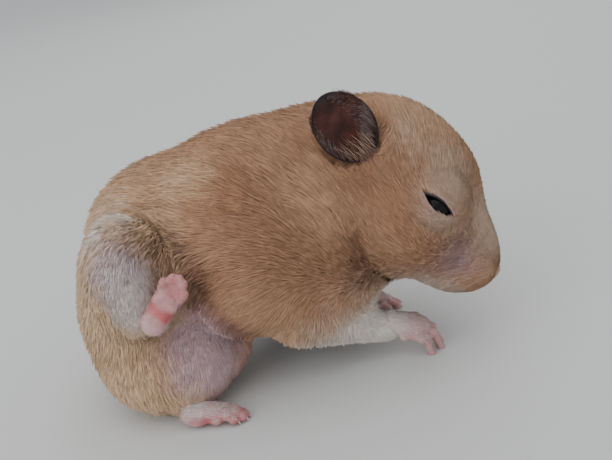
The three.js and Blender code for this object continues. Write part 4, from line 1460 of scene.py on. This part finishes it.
class HAMSTER_OT_claws(bpy.types.Operator):
    """Build a small curved claw on each digit"""

    bl_idname = "hamster.claws"
    bl_label = "Claws"

    def execute(self, context):
        s = context.scene.hamster
        sides, rings = 8, 7
        t = np.linspace(0, 1, rings)[:, None]
        radius = 0.4 * (1 - t) ** 0.7 + 0.02
        tubes = []
        for foot in FEET.values():
            root, axes = foot_frame(foot)
            for _, joint, tip in digits_of(foot):
                way = unit(tip - joint)
                up = unit(np.array((0, 0, 1)) - way[2] * way)
                line = tip + way * (0.35 + 1.6 * t) + up * (0.18 - 0.75 * t**2)
                tube = tube_points(line, radius, np.cross(up, way), up, sides, 0.7)
                tubes.append(root + tube @ axes.T)
        points = np.concatenate(tubes)
        points[:, 2] = np.maximum(points[:, 2], 0.02)
        colour = np.ones((len(points), 3)) * np.array(s.claw)
        horn = marked_material(
            "claw horn", 2500, 0.1, 0, 0.35, Subsurface_Weight=0.15, Subsurface_Scale=0.0004
        )
        faces = tube_faces(len(tubes), rings, sides, -1)
        dress(make_mesh("claws", points, faces, colour, None, horn), "bare_skin")
        return {"FINISHED"}


# The floor, and the camera's place and the lamps' names, places, sizes, powers and tints.
FLOOR = np.array(((-3000, -900, 0), (3000, -900, 0), (3000, 5000, 0), (-3000, 5000, 0)), float)
CAMERA_RAISED = 22.0
CAMERA_ROLL = 10.0
CAMERA_AWAY = 200.0
CAMERA_AIM = (0, 0, 34)
CAMERA_HALF_VIEW = 20.0
LIGHTS = (
    ("overhead", (-0.1, -0.1, 0.8), 1.0, 2.3, (1.0, 0.99, 0.97)),
    ("window", (-0.6, -0.6, 0.35), 0.8, 3.0, (0.97, 0.985, 1.0)),
    ("back", (0.2, 0.7, 0.5), 0.8, 1.1, (0.97, 0.985, 1.0)),
)


class HAMSTER_OT_stage(bpy.types.Operator):
    """Set the floor, the soft lights and the camera"""

    bl_idname = "hamster.stage"
    bl_label = "Floor, lights and camera"

    def execute(self, context):
        pale, *_ = new_material("pale floor", Base_Color=(0.62, 0.62, 0.61, 1), Roughness=0.8)
        floor = make_mesh("floor", FLOOR, ((0, 1, 2, 3),), material=pale, level=False)
        for name, place, size, power, tint in LIGHTS:
            lamp = bpy.data.lights.new(name, "AREA")
            lamp.shape = "DISK"
            lamp.size, lamp.energy, lamp.color = size, power, tint
            item = bpy.data.objects.new(name, lamp)
            item.location = place
            aim = unit(np.array((0, 0, 0.03)) - np.array(place))
            item.rotation_euler = Vector(aim).to_track_quat("-Z", "Y").to_euler()
            context.scene.collection.objects.link(item)
        world = bpy.data.worlds.new("soft room")
        world.use_nodes = True
        background = world.node_tree.nodes["Background"]
        set_inputs(background, {"Color": (0.93, 0.97, 1.0, 1), "Strength": 0.78})
        context.scene.world = world
        self.camera(context)
        return {"FINISHED"}

    @staticmethod
    def camera(context):
        """The camera looks across the right flank, raised and rolled a little."""
        e, r = math.radians(CAMERA_RAISED), math.radians(CAMERA_ROLL)
        ahead = np.array((0, math.cos(e), -math.sin(e)))
        level, up = np.array((1.0, 0, 0)), np.array((0, math.sin(e), math.cos(e)))
        right = math.cos(r) * level - math.sin(r) * up
        top = math.sin(r) * level + math.cos(r) * up
        at = (np.array(CAMERA_AIM) + SHIFT - CAMERA_AWAY * ahead) * MM
        data = bpy.data.cameras.new("camera")
        data.sensor_width = 36
        data.lens = 18 / math.tan(math.radians(CAMERA_HALF_VIEW))
        data.clip_start = 0.01
        camera = bpy.data.objects.new("camera", data)
        matrix = np.eye(4)
        matrix[:3, :3] = np.stack((right, top, -ahead), -1)
        matrix[:3, 3] = at
        camera.matrix_world = Matrix(matrix.tolist())
        context.scene.collection.objects.link(camera)
        context.scene.camera = camera


OPERATORS = (
    HAMSTER_OT_skin, HAMSTER_OT_eyes, HAMSTER_OT_ears, HAMSTER_OT_claws, HAMSTER_OT_coat,
    HAMSTER_OT_fringes, HAMSTER_OT_stage,
)


class HAMSTER_PT_panel(bpy.types.Panel):
    """Lists the hamster's sizes, colours and pieces"""

    bl_idname = "HAMSTER_PT_panel"
    bl_label = "Hamster"
    bl_space_type = "VIEW_3D"
    bl_region_type = "UI"
    bl_category = "Hamster"

    def draw(self, context):
        for name in HAMSTER_PG_settings.__annotations__:
            self.layout.prop(context.scene.hamster, name)
        for operator in OPERATORS:
            self.layout.operator(operator.bl_idname)


CLASSES = (HAMSTER_PG_settings, *OPERATORS, HAMSTER_PT_panel)


def register():
    for cls in CLASSES:
        bpy.utils.register_class(cls)
    bpy.types.Scene.hamster = bpy.props.PointerProperty(type=HAMSTER_PG_settings)


def unregister():
    del bpy.types.Scene.hamster
    for cls in reversed(CLASSES):
        bpy.utils.unregister_class(cls)


def main():
    register()
    for operator in OPERATORS:
        group, name = operator.bl_idname.split(".")
        getattr(getattr(bpy.ops, group), name)()


if __name__ == "__main__":
    main()
